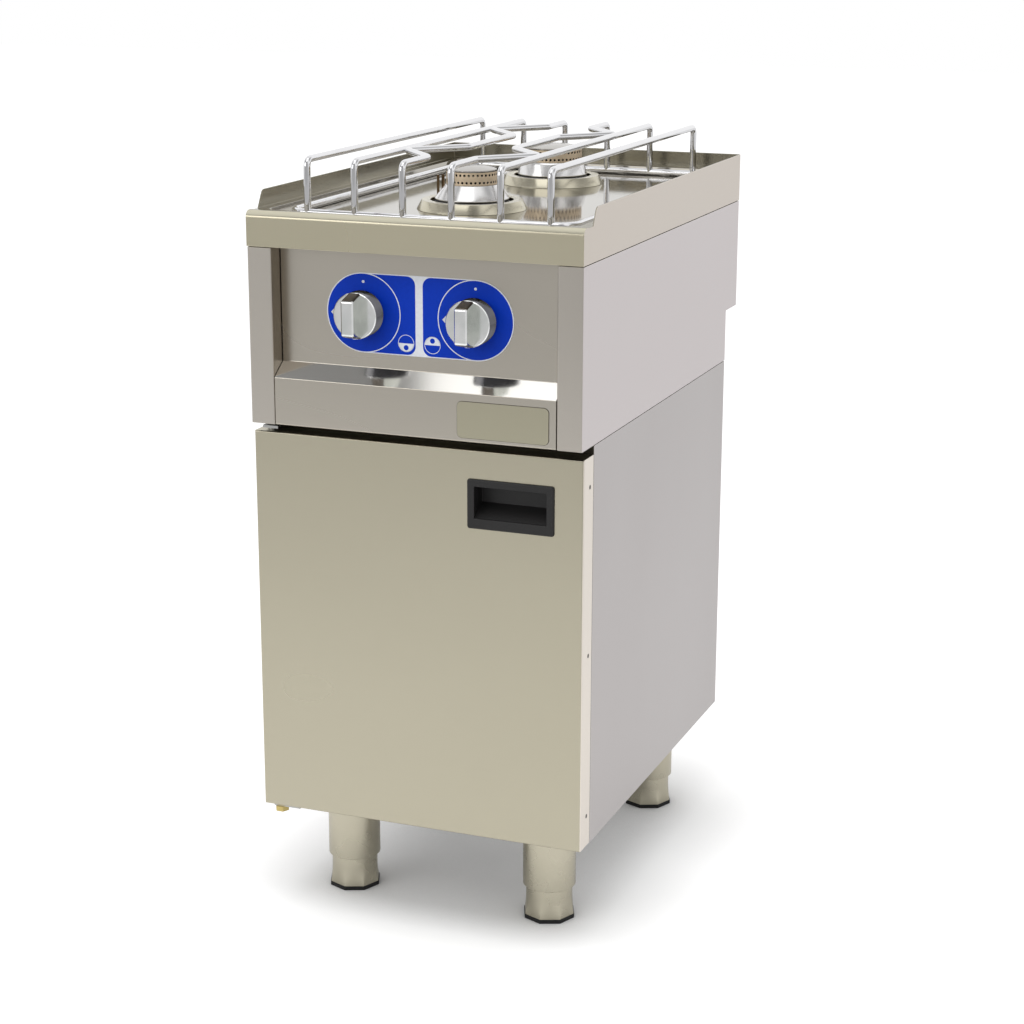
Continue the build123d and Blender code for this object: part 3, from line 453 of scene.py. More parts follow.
def wire(name, *lines, closed=False):
    """A mesh of points and edges along each line."""
    mesh = bpy.data.meshes.new(name)
    points = []
    edges = []
    for line in lines:
        start = len(points)
        points += [tuple(point) for point in line]
        edges += [(start + k, start + k + 1) for k in range(len(line) - 1)]
        if closed:
            edges.append((start + len(line) - 1, start))
    mesh.from_pydata(points, edges, [])
    return linked(name, mesh)


# Materials

def linear(red, green, blue):
    """A colour of 0 to 255 as drawn on a screen, as the renderer's linear values."""
    def channel(value):
        share = value / 255
        return share / 12.92 if share <= 0.04045 else ((share + 0.055) / 1.055) ** 2.4
    return channel(red), channel(green), channel(blue), 1.0


class Finish:
    """A material in the making: its shader, and textures on Object coordinates."""

    def __init__(self, name, colour, metallic, rough, specular=0.5):
        self.material = bpy.data.materials.new(name)
        self.material.use_nodes = True
        self.tree = self.material.node_tree
        self.shader = self.tree.nodes["Principled BSDF"]
        self.shader.inputs["Base Color"].default_value = colour
        self.shader.inputs["Metallic"].default_value = metallic
        self.shader.inputs["Roughness"].default_value = sum(rough) / 2
        self.shader.inputs["Specular IOR Level"].default_value = specular
        self.colour = colour
        self.rough = rough
        self.coordinates = self.tree.nodes.new("ShaderNodeTexCoord").outputs["Object"]

    def noise(self, scale, detail, stretch=(1, 1, 1)):
        """A noise value; scale is in waves to the metre, divided by stretch on each axis."""
        mapping = self.tree.nodes.new("ShaderNodeMapping")
        mapping.inputs["Scale"].default_value = [scale / s for s in stretch]
        noise = self.tree.nodes.new("ShaderNodeTexNoise")
        noise.inputs["Scale"].default_value = 1
        noise.inputs["Detail"].default_value = detail
        self.tree.links.new(self.coordinates, mapping.inputs["Vector"])
        self.tree.links.new(mapping.outputs[0], noise.inputs["Vector"])
        return noise.outputs["Fac"]

    def ranged(self, value, low, high):
        """A noise value brought to low..high, from where most of its values lie."""
        return map_node(self.tree, value, *NOISE_SPAN, low, high)

    def paint(self, value, spread):
        """Varies the base colour by a value, up and down by a share."""
        mix = self.tree.nodes.new("ShaderNodeMix")
        mix.data_type = "RGBA"
        mix.inputs[6].default_value = [c * (1 - spread) for c in self.colour[:3]] + [1]
        mix.inputs[7].default_value = [min(1, c * (1 + spread)) for c in self.colour[:3]] + [1]
        self.tree.links.new(value, mix.inputs["Factor"])
        self.tree.links.new(mix.outputs[2], self.shader.inputs["Base Color"])

    def roughen(self, value):
        """Varies the roughness by a value, within its two limits."""
        self.tree.links.new(self.ranged(value, *self.rough), self.shader.inputs["Roughness"])

    def lean(self, way):
        """Turns the surface's shading to one direction, so that it mirrors one chosen part of the
        surroundings as a painted highlight.
        """
        normal = self.tree.nodes.new("ShaderNodeNormalMap")
        normal.space = "OBJECT"
        normal.inputs["Color"].default_value = [(part + 1) / 2 for part in way] + [1]
        bump = self.shader.inputs["Normal"].links[0].from_node
        self.tree.links.new(normal.outputs[0], bump.inputs["Normal"])

    def tip(self, way):
        """Tips the surface's shading towards a direction, so that it mirrors more of that side as a
        painted reflection.
        """
        surface = self.tree.nodes.new("ShaderNodeNewGeometry")
        tipped = self.tree.nodes.new("ShaderNodeVectorMath")
        tipped.inputs[1].default_value = way
        even = self.tree.nodes.new("ShaderNodeVectorMath")
        even.operation = "NORMALIZE"
        bump = self.shader.inputs["Normal"].links[0].from_node
        self.tree.links.new(surface.outputs["Normal"], tipped.inputs[0])
        self.tree.links.new(tipped.outputs[0], even.inputs[0])
        self.tree.links.new(even.outputs[0], bump.inputs["Normal"])

    def emboss(self, value, depth, strength):
        """Bump from a value, with its depth in metres."""
        bump = self.tree.nodes.new("ShaderNodeBump")
        bump.inputs["Strength"].default_value = strength
        bump.inputs["Distance"].default_value = depth
        self.tree.links.new(value, bump.inputs["Height"])
        self.tree.links.new(bump.outputs[0], self.shader.inputs["Normal"])


ALONG = {"x": (STREAK, 1, 1), "y": (1, STREAK, 1), "z": (1, 1, STREAK)}


def brushed(name, colour, rough, grain, spread=0.009, way=None):
    """Brushed sheet steel: fine streaks along one axis over faint clouds."""
    finish = Finish(name, colour, 1.0, rough)
    stretch = ALONG[grain]
    fine = finish.noise(FINE_GRAIN, 3, stretch)
    clouds = finish.noise(4, 2, [2 if s > 1 else 1 for s in stretch])
    both = math_node(finish.tree, "ADD", finish.ranged(fine, 0, 0.5), finish.ranged(clouds, 0, 0.5))
    finish.paint(both, spread)
    finish.roughen(clouds)
    finish.emboss(fine, 0.0008 * MM, 0.3)
    if way:
        finish.lean(way)
    return finish.material


def turned_metal(name, colour, rough, spread=0.03):
    """Metal with the fine rings that a lathe or a polishing wheel leaves."""
    finish = Finish(name, colour, 1.0, rough)
    fine = finish.noise(FINE_GRAIN, 2, (RING_STREAK, RING_STREAK, 1))
    blotches = finish.noise(25, 2)
    finish.paint(finish.ranged(blotches, 0, 1), spread)
    finish.roughen(blotches)
    finish.emboss(fine, 0.001 * MM, 0.3)
    return finish.material


def cast(name, colour, metallic, rough, grain=900, depth=0.08, way=None):
    """Cast or moulded surface with a fine even grain."""
    finish = Finish(name, colour, metallic, rough)
    fine = finish.noise(grain, 4)
    blotches = finish.noise(40, 2)
    finish.paint(finish.ranged(blotches, 0, 1), 0.12)
    finish.roughen(fine)
    finish.emboss(fine, depth * MM, 0.35)
    if way:
        finish.tip(way)
    return finish.material


def enamel(name, colour, rough):
    """Printed or enamelled film with a faint orange peel."""
    finish = Finish(name, colour, 0.0, rough, specular=0.15)
    peel = finish.noise(350, 2)
    finish.paint(finish.ranged(peel, 0, 1), 0.03)
    finish.roughen(peel)
    finish.emboss(peel, 0.004 * MM, 0.3)
    return finish.material


nose_steel = brushed("warm_brushed_steel", linear(207, 200, 176), (0.24, 0.3), "x")
top_steel = brushed("worktop_steel", linear(162, 157, 141), (0.2, 0.28), "x")
# Painted highlight: a lighter copy of the nose steel, its shading leaned towards the overhead card, for
# the bright band along the nose's top edge
nose_highlight_steel = brushed("nose_painted_highlight", linear(216, 211, 190), (0.3, 0.36), "x",
                    way=(0.36, -0.42, 0.83))
skirt_steel = brushed("pale_skirt_steel", linear(218, 209, 199), (0.28, 0.36), "y")
door_steel = brushed("door_brushed_steel", linear(192, 186, 166), (0.26, 0.34), "x")
pillar_steel = brushed("grey_brushed_steel", linear(201, 195, 186), (0.26, 0.34), "z")
panel_steel = brushed("panel_brushed_steel", linear(194, 188, 177), (0.24, 0.32), "x")
# Painted highlight: a lighter copy of the panel steel, its shading leaned towards the overhead card, for
# the bright reflection on the ledge
ledge_highlight_steel = brushed("ledge_painted_highlight", linear(222, 220, 215), (0.11, 0.14), "x", 0.01,
                      way=(0, -0.72, 0.694))
casing_steel = brushed("pale_casing_steel", linear(217, 210, 210), (0.3, 0.38), "y")
cabinet_steel = brushed("cabinet_side_steel", linear(196, 191, 190), (0.3, 0.38), "z")
inner_steel = brushed("inner_steel", linear(168, 166, 162), (0.3, 0.4), "x")
# Painted shade: a darker copy of the pillar steel for the returns that face inwards
return_shade_steel = brushed("shaded_return_steel", linear(158, 148, 134), (0.3, 0.38), "z")
# Painted shade: near black steel for the cabinet's front flanges and rails, which show in the shaded gap
# over the door
rail_shade_steel = brushed("painted_shade_rail_steel", linear(72, 68, 61), (0.4, 0.5), "x")
edge_steel = brushed("pale_door_edge", linear(240, 232, 222), (0.3, 0.38), "z")
basin_steel = brushed("polished_basin_steel", linear(171, 167, 158), (0.05, 0.09), "y", 0.01)
leg_steel = turned_metal("brushed_tube", linear(197, 191, 172), (0.24, 0.32))
chrome = turned_metal("polished_chrome", linear(234, 234, 236), (0.04, 0.08), 0.02)
cone_metal = turned_metal("polished_aluminium", linear(232, 231, 231), (0.18, 0.24), 0.02)
ring_metal = turned_metal("brushed_ring", linear(208, 202, 182), (0.18, 0.25), 0.02)
port_metal = cast("port_ring_brass", linear(226, 206, 178), 0.6, (0.36, 0.46), 1500, 0.02)
# Near black for the flame ring's inner faces and the lid below the ring's top
port_dark_inside = cast("port_dark_inside", linear(34, 29, 24), 0.0, (0.7, 0.8), 1500, 0.02)
lid_metal = turned_metal("lid_steel", linear(188, 185, 180), (0.12, 0.2), 0.02)
knob_metal = cast("satin_silver", linear(246, 249, 247), 1.0, (0.14, 0.2), 2400, 0.006)
# Painted shade: darker copies of the knob's silver for the grip's sides, and darker still for its top and
# bottom
knob_shade_side = cast("shaded_silver", linear(212, 215, 208), 1.0, (0.14, 0.2), 2400, 0.006)
knob_painted_shade = cast("painted_shade_silver", linear(112, 106, 100), 1.0, (0.2, 0.28), 2400, 0.006)
# Painted reflection: a dark copy of the knob's silver, its shading tipped to the front, for the dark
# reflection on the knob's round rim
knob_rim_reflection = cast("rim_painted_reflection", linear(108, 108, 113), 1.0, (0.12, 0.18), 2400, 0.006, (0, -0.9, 0.1))
iron = cast("cast_iron", linear(64, 62, 60), 0.6, (0.5, 0.62))
brass = turned_metal("yellow_brass", linear(206, 186, 122), (0.24, 0.34))
pipe = turned_metal("zinc_pipe", linear(186, 186, 184), (0.3, 0.4))
pilot_metal = turned_metal("pilot_tube", linear(120, 100, 74), (0.3, 0.4))
handle_black = cast("black_moulding", linear(28, 27, 27), 0.0, (0.42, 0.55), 1800, 0.02)
pad_black = cast("black_rubber", linear(22, 22, 23), 0.0, (0.6, 0.75), 1200, 0.05)
screw_metal = cast("dark_screw", linear(70, 66, 60), 0.8, (0.34, 0.46))
label_blue = enamel("label_blue", linear(8, 60, 194), (0.36, 0.44))
label_white = enamel("label_white", linear(240, 243, 250), (0.36, 0.44))
plate_metal = brushed("bare_plate", linear(188, 183, 161), (0.24, 0.32), "x", 0.01)
# Painted shadow: a dark rim on the plate's edge faces, for the shadow gap round the plate
plate_rim_shadow = cast("plate_rim_painted_shadow", linear(60, 55, 46), 0.6, (0.4, 0.5), 1500, 0.02)


# Pieces

def placed(piece, body, finish=None, *nodes, slot=None):
    """Gives a piece its finish and body, and the CAD nodes that it stands for."""
    if finish:
        piece.data.materials.clear()
        piece.data.materials.append(finish)
    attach(piece, body)
    if nodes:
        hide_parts(*nodes)
    return piece


def body_of(node):
    """The moving body that a CAD node belongs to."""
    return frame["nodes"][node]["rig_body"]


def slot_of(node):
    """The material slot that the record gives a CAD node."""
    for row in frame["record"]["subparts"]:
        if row["node"] == node:
            return row["material_slot"]


def eased(node, finish, width=SHEET_EDGE):
    """A copy of a sheet-metal node with soft edges, standing for it."""
    piece = from_bmesh(node + ".sheet", merged_copy(node))
    return placed(softened(piece, width), body_of(node), finish, node, slot=slot_of(node))


def refinish(piece, finish, chosen):
    """Gives another finish to the faces that a test picks."""
    piece.data.materials.append(finish)
    index = len(piece.data.materials) - 1
    for face in piece.data.polygons:
        if chosen(face):
            face.material_index = index


def sideways(limit):
    """A test for faces that look left or right, outside a distance from the middle."""
    return lambda face: abs(face.center.x) > limit and abs(face.normal.x) > FACING


def make_worktop():
    """Drawn top: warm front, paler skirts and a polished basin."""
    top = eased("worktop", top_steel, 0.7 * MM)
    low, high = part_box("worktop")
    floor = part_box("front_drip_ring")[0].z

    def outer_back(face):
        return face.center.y > high.y - OUTER_SKIN and face.normal.y > FACING

    def nose(face):
        return face.center.y < low.y + NOSE_DEPTH and face.normal.y < -0.3

    def nose_top(face):
        return face.center.y < low.y + NOSE_EDGE_DEPTH and 0.3 < face.normal.z < 0.99

    def in_basin(face):
        x, y, z = face.center
        between = low.y + BASIN_FROM_FRONT < y < high.y - BASIN_FROM_SIDE
        inside = abs(x) < high.x - BASIN_FROM_SIDE and between
        return inside and floor - BASIN_BELOW < z < floor + BASIN_ABOVE

    refinish(top, skirt_steel, outer_back)
    refinish(top, nose_steel, nose)
    # The nose's rounded top edge takes the painted highlight
    refinish(top, nose_highlight_steel, nose_top)
    refinish(top, skirt_steel, sideways(high.x - OUTER_SKIN))
    refinish(top, basin_steel, in_basin)


def make_control_panel():
    """Panel with its sloping ledge, the apron under it and the bare plate on that."""
    panel = eased("control_panel", panel_steel, 0.4 * MM)
    # The sloping ledge takes the painted highlight
    refinish(panel, ledge_highlight_steel, lambda face: face.normal.y < -0.3 and face.normal.z > 0.5)
    plate = eased("badge_plate", plate_metal, 0.45 * MM)
    # The plate's edge faces take the painted shadow
    refinish(plate, plate_rim_shadow, lambda face: abs(face.normal.y) < 0.97)


def make_sheet_metal():
    """Top unit, cabinet and door, all of folded sheet, and the door's grip."""
    make_worktop()
    make_control_panel()
    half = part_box("worktop")[1].x

    def looks_inwards(face):
        return abs(face.center.x) < half - CASING_RETURN and abs(face.normal.x) > FACING

    for side in ("left", "right"):
        panel = eased(side + "_side_panel", pillar_steel)
        refinish(panel, casing_steel, sideways(half - OUTER_SKIN))
        # Faces looking inwards take the painted shade
        refinish(panel, return_shade_steel, looks_inwards)
        base = eased(f"base_{side}_side", cabinet_steel)
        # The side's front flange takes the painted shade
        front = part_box(f"base_{side}_side")[0].y + FRONT_FLANGE
        refinish(base, rail_shade_steel, lambda face: face.center.y < front and face.normal.y < -FACING)
    refinish(eased("door_skin", door_steel), edge_steel, sideways(half - DOOR_EDGE))
    # The rails take the painted shade too
    eased("base_rails", rail_shade_steel, 0.3 * MM)
    for node in ("back_panel", "base_back", "base_floor", "door_liner"):
        eased(node, inner_steel, 0.3 * MM)
    eased("door_handle", handle_black, 0.6 * MM)


def make_pan_support():
    """Loop and six rods that end on it, the middle two spreading at each burner."""
    tree = bent_rod_tree()
    low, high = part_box("support_loop")
    x_loop = high.x - ROD
    front, back = low.y + ROD, high.y - ROD
    z_loop = (low.z + high.z) / 2
    rods_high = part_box("support_straight_rods")[1]
    z_rod = rods_high.z - ROD
    pitch = (rods_high.x - ROD) / ROD_PLACES[-1]
    corners = [(x_loop, front, z_loop), (x_loop, back, z_loop), (-x_loop, back, z_loop),
               (-x_loop, front, z_loop)]
    loop = grown(wire("loop", corners, closed=True), "support_loop.rod", tree,
                 Rod_radius=ROD, Bend_radius=LOOP_CORNER, Finish=chrome)
    placed(loop, "pan_support", None, "support_loop", slot="rod_chrome")
    lines = []
    for share in ROD_PLACES:
        x = share * pitch
        lines.append([(x, front, z_loop), (x, front, z_rod), (x, back, z_rod), (x, back, z_loop)])
    straight = grown(wire("straight", *lines), "support_straight.rods", tree,
                     Rod_radius=ROD, Bend_radius=ROD_BEND, Finish=chrome)
    placed(straight, "pan_support", None, "support_straight_rods", slot="rod_chrome")
    gap = pitch - 2 * ROD
    lean = math.atan2(gap, SPREAD_LENGTH)
    reach = gap + ROD_BEND * (1 / math.cos(lean) - 1)
    lines = []
    for side in (-1, 1):
        x = side * pitch / 2
        line = [(x, front, z_loop), (x, front, z_rod)]
        for which in ("front", "rear"):
            y = burner_axis(which)[1]
            line += [(x, y - SPREAD_LENGTH, z_rod), (x + side * reach, y, z_rod),
                     (x, y + SPREAD_LENGTH, z_rod)]
        line += [(x, back, z_rod), (x, back, z_loop)]
        lines.append(line)
    spread = grown(wire("spread", *lines), "support_spread.rods", tree,
                   Rod_radius=ROD, Bend_radius=ROD_BEND, Finish=chrome)
    placed(spread, "pan_support", None, "support_spread_rods", slot="rod_chrome")


def burner_axis(which):
    """Centre of a burner on the plane of its flame ring's lower edge."""
    low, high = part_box(which + "_flame_ring")
    return (low.x + high.x) / 2, (low.y + high.y) / 2, low.z


def port_cell(radius, count, low, high, hole, upper):
    """One flame port in its share of the ring's wall, with a rim on its outer side."""
    shape = bmesh.new()
    width = TURN / count
    middle = (low + high) / 2
    quarters = (-1, -0.5, 0, 0.5)
    square = [(x, -1) for x in quarters] + [(1, z) for z in quarters]
    square += [(-x, 1) for x in quarters] + [(-1, -z) for z in quarters]

    def vertex(angle, height, depth):
        reach = radius - depth
        return shape.verts.new((reach * math.cos(angle), reach * math.sin(angle), height))

    def boundary(depth):
        return [vertex(u * width / 2, middle + v * (high - low) / 2, depth) for u, v in square]

    def round_edge(size, depth):
        ring = []
        for step in range(len(square)):
            angle = TURN * (step / len(square) - 3 / 8)
            ring.append(vertex(size * math.cos(angle) / radius, hole + size * math.sin(angle), depth))
        return ring

    rings = [boundary(0), round_edge(PORT + PORT_EDGE, 0), round_edge(PORT, PORT_EDGE),
             round_edge(PORT, PORT_WALL), boundary(PORT_WALL)]
    for outer, inner in zip(rings, rings[1:]):
        bridge(shape, outer, inner)
    edge = 2 * len(quarters) if upper else 0
    for k in range(edge, edge + len(quarters)):
        n = (k + 1) % len(square)
        shape.faces.new((rings[-1][k], rings[-1][n], rings[0][n], rings[0][k]))
    return shape


def make_flame_ring(which, tree):
    """Ring with two staggered rows of round ports."""
    low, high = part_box(which + "_flame_ring")
    radius = (high.x - low.x) / 2
    height = high.z - low.z
    count = PORT_COUNT[which]
    axis = burner_axis(which)
    rows = []
    for row in (0, 1):
        cell = port_cell(radius, count, row * height / 2, (row + 1) * height / 2, PORT_ROWS[row], row == 1)
        turn = Matrix.Rotation(row * TURN / count / 2, 3, "Z")
        bmesh.ops.rotate(cell, verts=cell.verts, matrix=turn)
        source = from_bmesh("cell", cell)
        rows.append(grown(source, f"{which}_row_{row}", tree, Count=count, Finish=port_metal))
    ring = joined(which + "_flame_ring.ports", *rows)
    ring.data.transform(Matrix.Translation(axis))
    ring.data.shade_smooth()
    ring.data.set_sharp_from_angle(angle=math.radians(40))
    placed(ring, which + "_burner_head", None, which + "_flame_ring", slot="port_brass")

    # The ring's inner faces are near black
    def inside(face):
        return math.hypot(face.center.x - axis[0], face.center.y - axis[1]) < radius - DARK_INSIDE_DEPTH

    refinish(ring, port_dark_inside, inside)


def make_lid(which):
    """Domed lid with a rolled edge, and a spigot that sits in the flame ring."""
    centre = burner_axis(which)
    ring_low, ring_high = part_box(which + "_flame_ring")
    lid_low, lid_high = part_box(which + "_burner_lid")
    ring_radius = (ring_high.x - ring_low.x) / 2
    radius = (lid_high.x - lid_low.x) / 2
    foot = lid_low.z - centre[2]
    seat = ring_high.z - centre[2]
    crown = lid_high.z - centre[2]
    edge = seat + LID_EDGE
    spigot = ring_radius - PORT_WALL - LID_PLAY
    outline = [(0, foot), (spigot - LID_CHAMFER, foot), (spigot, foot), (spigot, seat), (radius, seat),
               (radius, edge)]
    dome = []
    for step in range(1, DOME_STEPS):
        share = 1 - step / DOME_STEPS
        dome.append((radius * share, edge + (crown - edge) * (1 - share ** 2)))
    outline = rounded(outline + dome[:1], 0.6 * MM)[:-1] + dome + [(0, crown)]
    lid = turned(which + "_burner_lid.dome", outline, centre)
    placed(lid, which + "_burner_head", lid_metal, which + "_burner_lid", slot="polished_aluminium")
    # The lid's part below the ring's top is near black
    refinish(lid, port_dark_inside, lambda face: face.center.z < ring_high.z - 0.1 * MM)


def make_cone(which):
    """Polished cone with a seat for the flame ring and a sleeve down into the cup."""
    centre = burner_axis(which)
    ring_low, ring_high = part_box(which + "_flame_ring")
    cone_low, cone_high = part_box(which + "_burner_cone")
    rim = (cone_high.x - cone_low.x) / 2
    top = cone_high.z - centre[2]
    ledge = cone_low.z - centre[2]
    low = top - CONE_HEIGHT
    crown = (ring_high.x - ring_low.x) / 2 + CONE_LIP
    inner = CONE_SLEEVE - CONE_WALL
    outline = [(inner, ledge), (CONE_SLEEVE, ledge), (CONE_SLEEVE, low), (rim, low),
               (rim, low + CONE_FOOT), (crown + CONE_FOOT, top - CONE_NECK), (crown, top),
               (crown - CONE_SEAT, top), (crown - CONE_SEAT, top - CONE_WALL),
               (crown - CONE_WALL, top - CONE_WALL), (inner, low)]
    loop = rounded(outline + [outline[0]], 0.5 * MM)
    cone = turned(which + "_burner_cone.polished", loop, centre)
    placed(cone, "stove", cone_metal, which + "_burner_cone", slot="polished_aluminium")


def make_drip_ring(which):
    """Bevelled drip ring of thin sheet, standing on the basin."""
    centre = burner_axis(which)
    low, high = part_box(which + "_drip_ring")
    radius = (high.x - low.x) / 2
    floor = low.z - centre[2]
    top = high.z - centre[2]
    sheet = DRIP_SHEET
    outline = [(radius - sheet, floor), (radius, floor), (DRIP_SHOULDER, top), (DRIP_HOLE, top),
               (DRIP_HOLE, top - 2 * sheet), (DRIP_HOLE + sheet, top - 2 * sheet),
               (DRIP_HOLE + sheet, top - sheet), (DRIP_SHOULDER - sheet, top - sheet)]
    loop = rounded(outline + [outline[0]], 0.7 * MM)
    drip = turned(which + "_drip_ring.bevelled", loop, centre, DRIP_SIDES)
    placed(drip, "stove", ring_metal, which + "_drip_ring", slot="ring_steel")


def make_burner(which, tree):
    """All that is seen of one burner, from the flame ring outwards."""
    make_flame_ring(which, tree)
    make_lid(which)
    make_cone(which)
    make_drip_ring(which)


def disc_on_panel(name, centre, radius, depth, segments=64):
    """A thin round plate facing the cook."""
    shape = bmesh.new()
    upright = Matrix.Translation(centre) @ Matrix.Rotation(TURN / 4, 4, "X")
    bmesh.ops.create_cone(shape, cap_ends=True, segments=segments, radius1=radius, radius2=radius,
                          depth=depth, matrix=upright)
    return from_bmesh(name, shape)


def plate_on_panel(name, outline, y, depth):
    """A thin plate facing the cook, from (x, z) points."""
    shape = bmesh.new()
    front = [shape.verts.new((x, y - depth, z)) for x, z in outline]
    back = [shape.verts.new((x, y, z)) for x, z in outline]
    shape.faces.new(front)
    shape.faces.new(list(reversed(back)))
    bridge(shape, back, front)
    bmesh.ops.recalc_face_normals(shape, faces=shape.faces)
    return from_bmesh(name, shape)


def ring_on_panel(name, centre, radius, width, y, depth):
    """A thin round line facing the cook."""
    shape = bmesh.new()
    inner = radius - width
    loops = []
    for reach, place in ((radius, y), (radius, y - depth), (inner, y - depth), (inner, y)):
        loops.append([shape.verts.new((x, place, z)) for x, z in circle(centre, reach)])
    for one, other in zip(loops, loops[1:] + loops[:1]):
        bridge(shape, one, other)
    bmesh.ops.recalc_face_normals(shape, faces=shape.faces)
    return from_bmesh(name, shape)


def arc(centre, radius, start, end, steps):
    """Points of an arc in the panel's plane, by angles in degrees."""
    points = []
    for step in range(steps + 1):
        angle = math.radians(start + (end - start) * step / steps)
        points.append((centre[0] + radius * math.cos(angle), centre[1] + radius * math.sin(angle)))
    return points


def make_label():
    """White film with a blue field round each knob, its index dot and a burner sign."""
    low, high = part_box("control_label")
    face = low.y
    z = (low.z + high.z) / 2
    base = from_bmesh("film", merged_copy("control_label"))
    base.data.materials.append(label_white)
    parts = [base]
    for side, name in ((-1, "left"), (1, "right")):
        x = side * ((high.x - low.x) / 2 - LABEL_EDGE)
        edge = LABEL_EDGE - LABEL_LINE
        quarter = 90 * side
        bend_x = side * (LABEL_STRIP + LABEL_CORNER)
        bend_rise = side * (edge - LABEL_CORNER)
        outline = arc((x, z), edge, -quarter, 180 - quarter, steps=40)
        outline += arc((bend_x, z + bend_rise), LABEL_CORNER, quarter, quarter + 90, steps=8)
        outline += arc((bend_x, z - bend_rise), LABEL_CORNER, quarter + 90, quarter + 180, steps=8)
        field = plate_on_panel(name + "_field", outline, face, LABEL_INK)
        line = ring_on_panel(name + "_line", (x, z), LABEL_EDGE, LABEL_LINE, face, 2 * LABEL_INK)
        dot_at = (x, face - LABEL_INK, z + INDEX_RISE)
        dot = disc_on_panel(name + "_index", dot_at, INDEX_DOT, 2 * LABEL_INK)
        icon_at = (side * ICON_SIDE, z - ICON_DROP)
        sign = ring_on_panel(name + "_sign", icon_at, ICON, ICON_LINE, face, 2 * LABEL_INK)
        half = arc(icon_at, ICON - ICON_LINE / 2, 90 - quarter, 270 - quarter, steps=24)
        half = plate_on_panel(name + "_half", half, face, 2 * LABEL_INK)
        spot_at = (icon_at[0], face - 2 * LABEL_INK, icon_at[1] + side * ICON / 2)
        spot = disc_on_panel(name + "_spot", spot_at, ICON_DOT, 2 * LABEL_INK, segments=32)
        for piece in (line, dot, sign, half):
            piece.data.materials.append(label_white)
        for piece in (field, spot):
            piece.data.materials.append(label_blue)
        parts += [field, line, dot, sign, half, spot]
    placed(joined("control_label.printed", *parts), "stove", None, "control_label", slot="label_blue")


def make_knob(side):
    """Knob with a pointer on its skirt, a round body and a tapered grip bar."""
    node = side + "_knob"
    piece = from_bmesh(node + ".satin", merged_copy(node))
    piece = softened(piece, 0.8 * MM, segments=3, angle=40)
    placed(piece, body_of(node), knob_metal, node, slot="knob_silver")
    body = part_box(node)[1].y - KNOB_BODY
    grip = body - MM
    # Painted reflection and shade: the rim a dark copy, the grip's sides a shaded copy, the grip's top and
    # bottom darker still
    refinish(piece, knob_rim_reflection, lambda face: face.center.y > body and abs(face.normal.y) < 0.5)
    refinish(piece, knob_shade_side, lambda face: face.center.y < grip and abs(face.normal.x) > 0.9)
    refinish(piece, knob_painted_shade, lambda face: face.center.y < grip and abs(face.normal.z) > 0.6)


def make_foot(node):
    """Foot tube flaring gently into an octagon."""
    low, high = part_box(node)
    centre = ((low.x + high.x) / 2, (low.y + high.y) / 2)
    flare = (high.x - low.x) / 2
    shape = bmesh.new()

    def octagon(angle):
        share = (angle % (TURN / 8)) - TURN / 16
        return flare * math.cos(TURN / 16) / math.cos(share)

    def ring(mix, height, inset=0.0):
        points = []
        for k in range(TURNED_SIDES):
            angle = TURN * k / TURNED_SIDES
            reach = mix * octagon(angle) + (1 - mix) * FOOT_NECK - inset
            points.append(shape.verts.new((centre[0] + reach * math.cos(angle),
                                           centre[1] + reach * math.sin(angle), height)))
        return points

    rings = [ring(1, low.z, FOOT_LIP), ring(1, low.z, FOOT_EDGE)]
    rings += [ring(mix, low.z + z * MM + (FOOT_EDGE if z == 0 else 0)) for mix, z in FOOT_FLARE]
    rings += [ring(0, high.z), ring(0, high.z, FOOT_LIP)]
    for lower, upper in zip(rings, rings[1:]):
        bridge(shape, lower, upper)
    shape.faces.new(list(reversed(rings[0])))
    shape.faces.new(rings[-1])
    piece = from_bmesh(node + ".flared", shape, smooth_angle=30)
    placed(piece, body_of(node), leg_steel, node, slot="foot_steel")


def make_pad(node):
    """Rubber pad with a lip that stands round the foot's edge."""
    low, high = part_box(node)
    middle = (low + high) / 2
    shape = merged_copy(node)
    for vertex in shape.verts:
        if vertex.co.z > middle.z:
            vertex.co.z += PAD_LIP
        for axis in (0, 1):
            vertex.co[axis] = middle[axis] + PAD_GROWTH * (vertex.co[axis] - middle[axis])
    pad = from_bmesh(node + ".rubber", shape)
    placed(softened(pad, 0.6 * MM), body_of(node), pad_black, node, slot="pad_black")


def make_legs():
    """Four tubes open at the bottom, drawn longer than the CAD's, with their feet and pads."""
    low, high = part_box("leg_tubes")
    foot = low.z - LEG_SLEEVE
    roof = foot + LEG_BORE_DEPTH
    outline = [(0, high.z), (LEG_RADIUS, high.z), (LEG_RADIUS, foot), (LEG_BORE, foot), (LEG_BORE, roof),
               (0, roof)]
    tubes = []
    for x in (low.x + LEG_RADIUS, high.x - LEG_RADIUS):
        for y in (low.y + LEG_RADIUS, high.y - LEG_RADIUS):
            tubes.append(turned("leg", rounded(outline, 0.8 * MM), (x, y, 0)))
    placed(joined("leg_tubes.brushed", *tubes), "stove", leg_steel, "leg_tubes", slot="leg_steel")
    for place in ("front_left", "front_right", "rear_left", "rear_right"):
        make_foot(place + "_foot")
        make_pad(place + "_pad")


def finish_inner_nodes():
    """Materials of the nodes that stay as the CAD made them."""
    finishes = {"gas_tap": brass, "spindle": pipe, "push_rod": pipe, "manifold": pipe,
                "inlet_lock": brass, "burner_cup": iron, "feed_pipe": pipe, "injectors": brass,
                "pilots": pilot_metal, "bottom_plate": inner_steel, "screws": screw_metal,
                "bushes": pipe, "strike": pipe, "catch": pad_black, "top_hinge": pipe,
                "bottom_hinge": pipe, "hinge_nut": brass}
    for node, piece in frame["nodes"].items():
        for part, finish in finishes.items():
            if part in node:
                piece.data.materials.clear()
                piece.data.materials.append(finish)


# Floor, light and camera

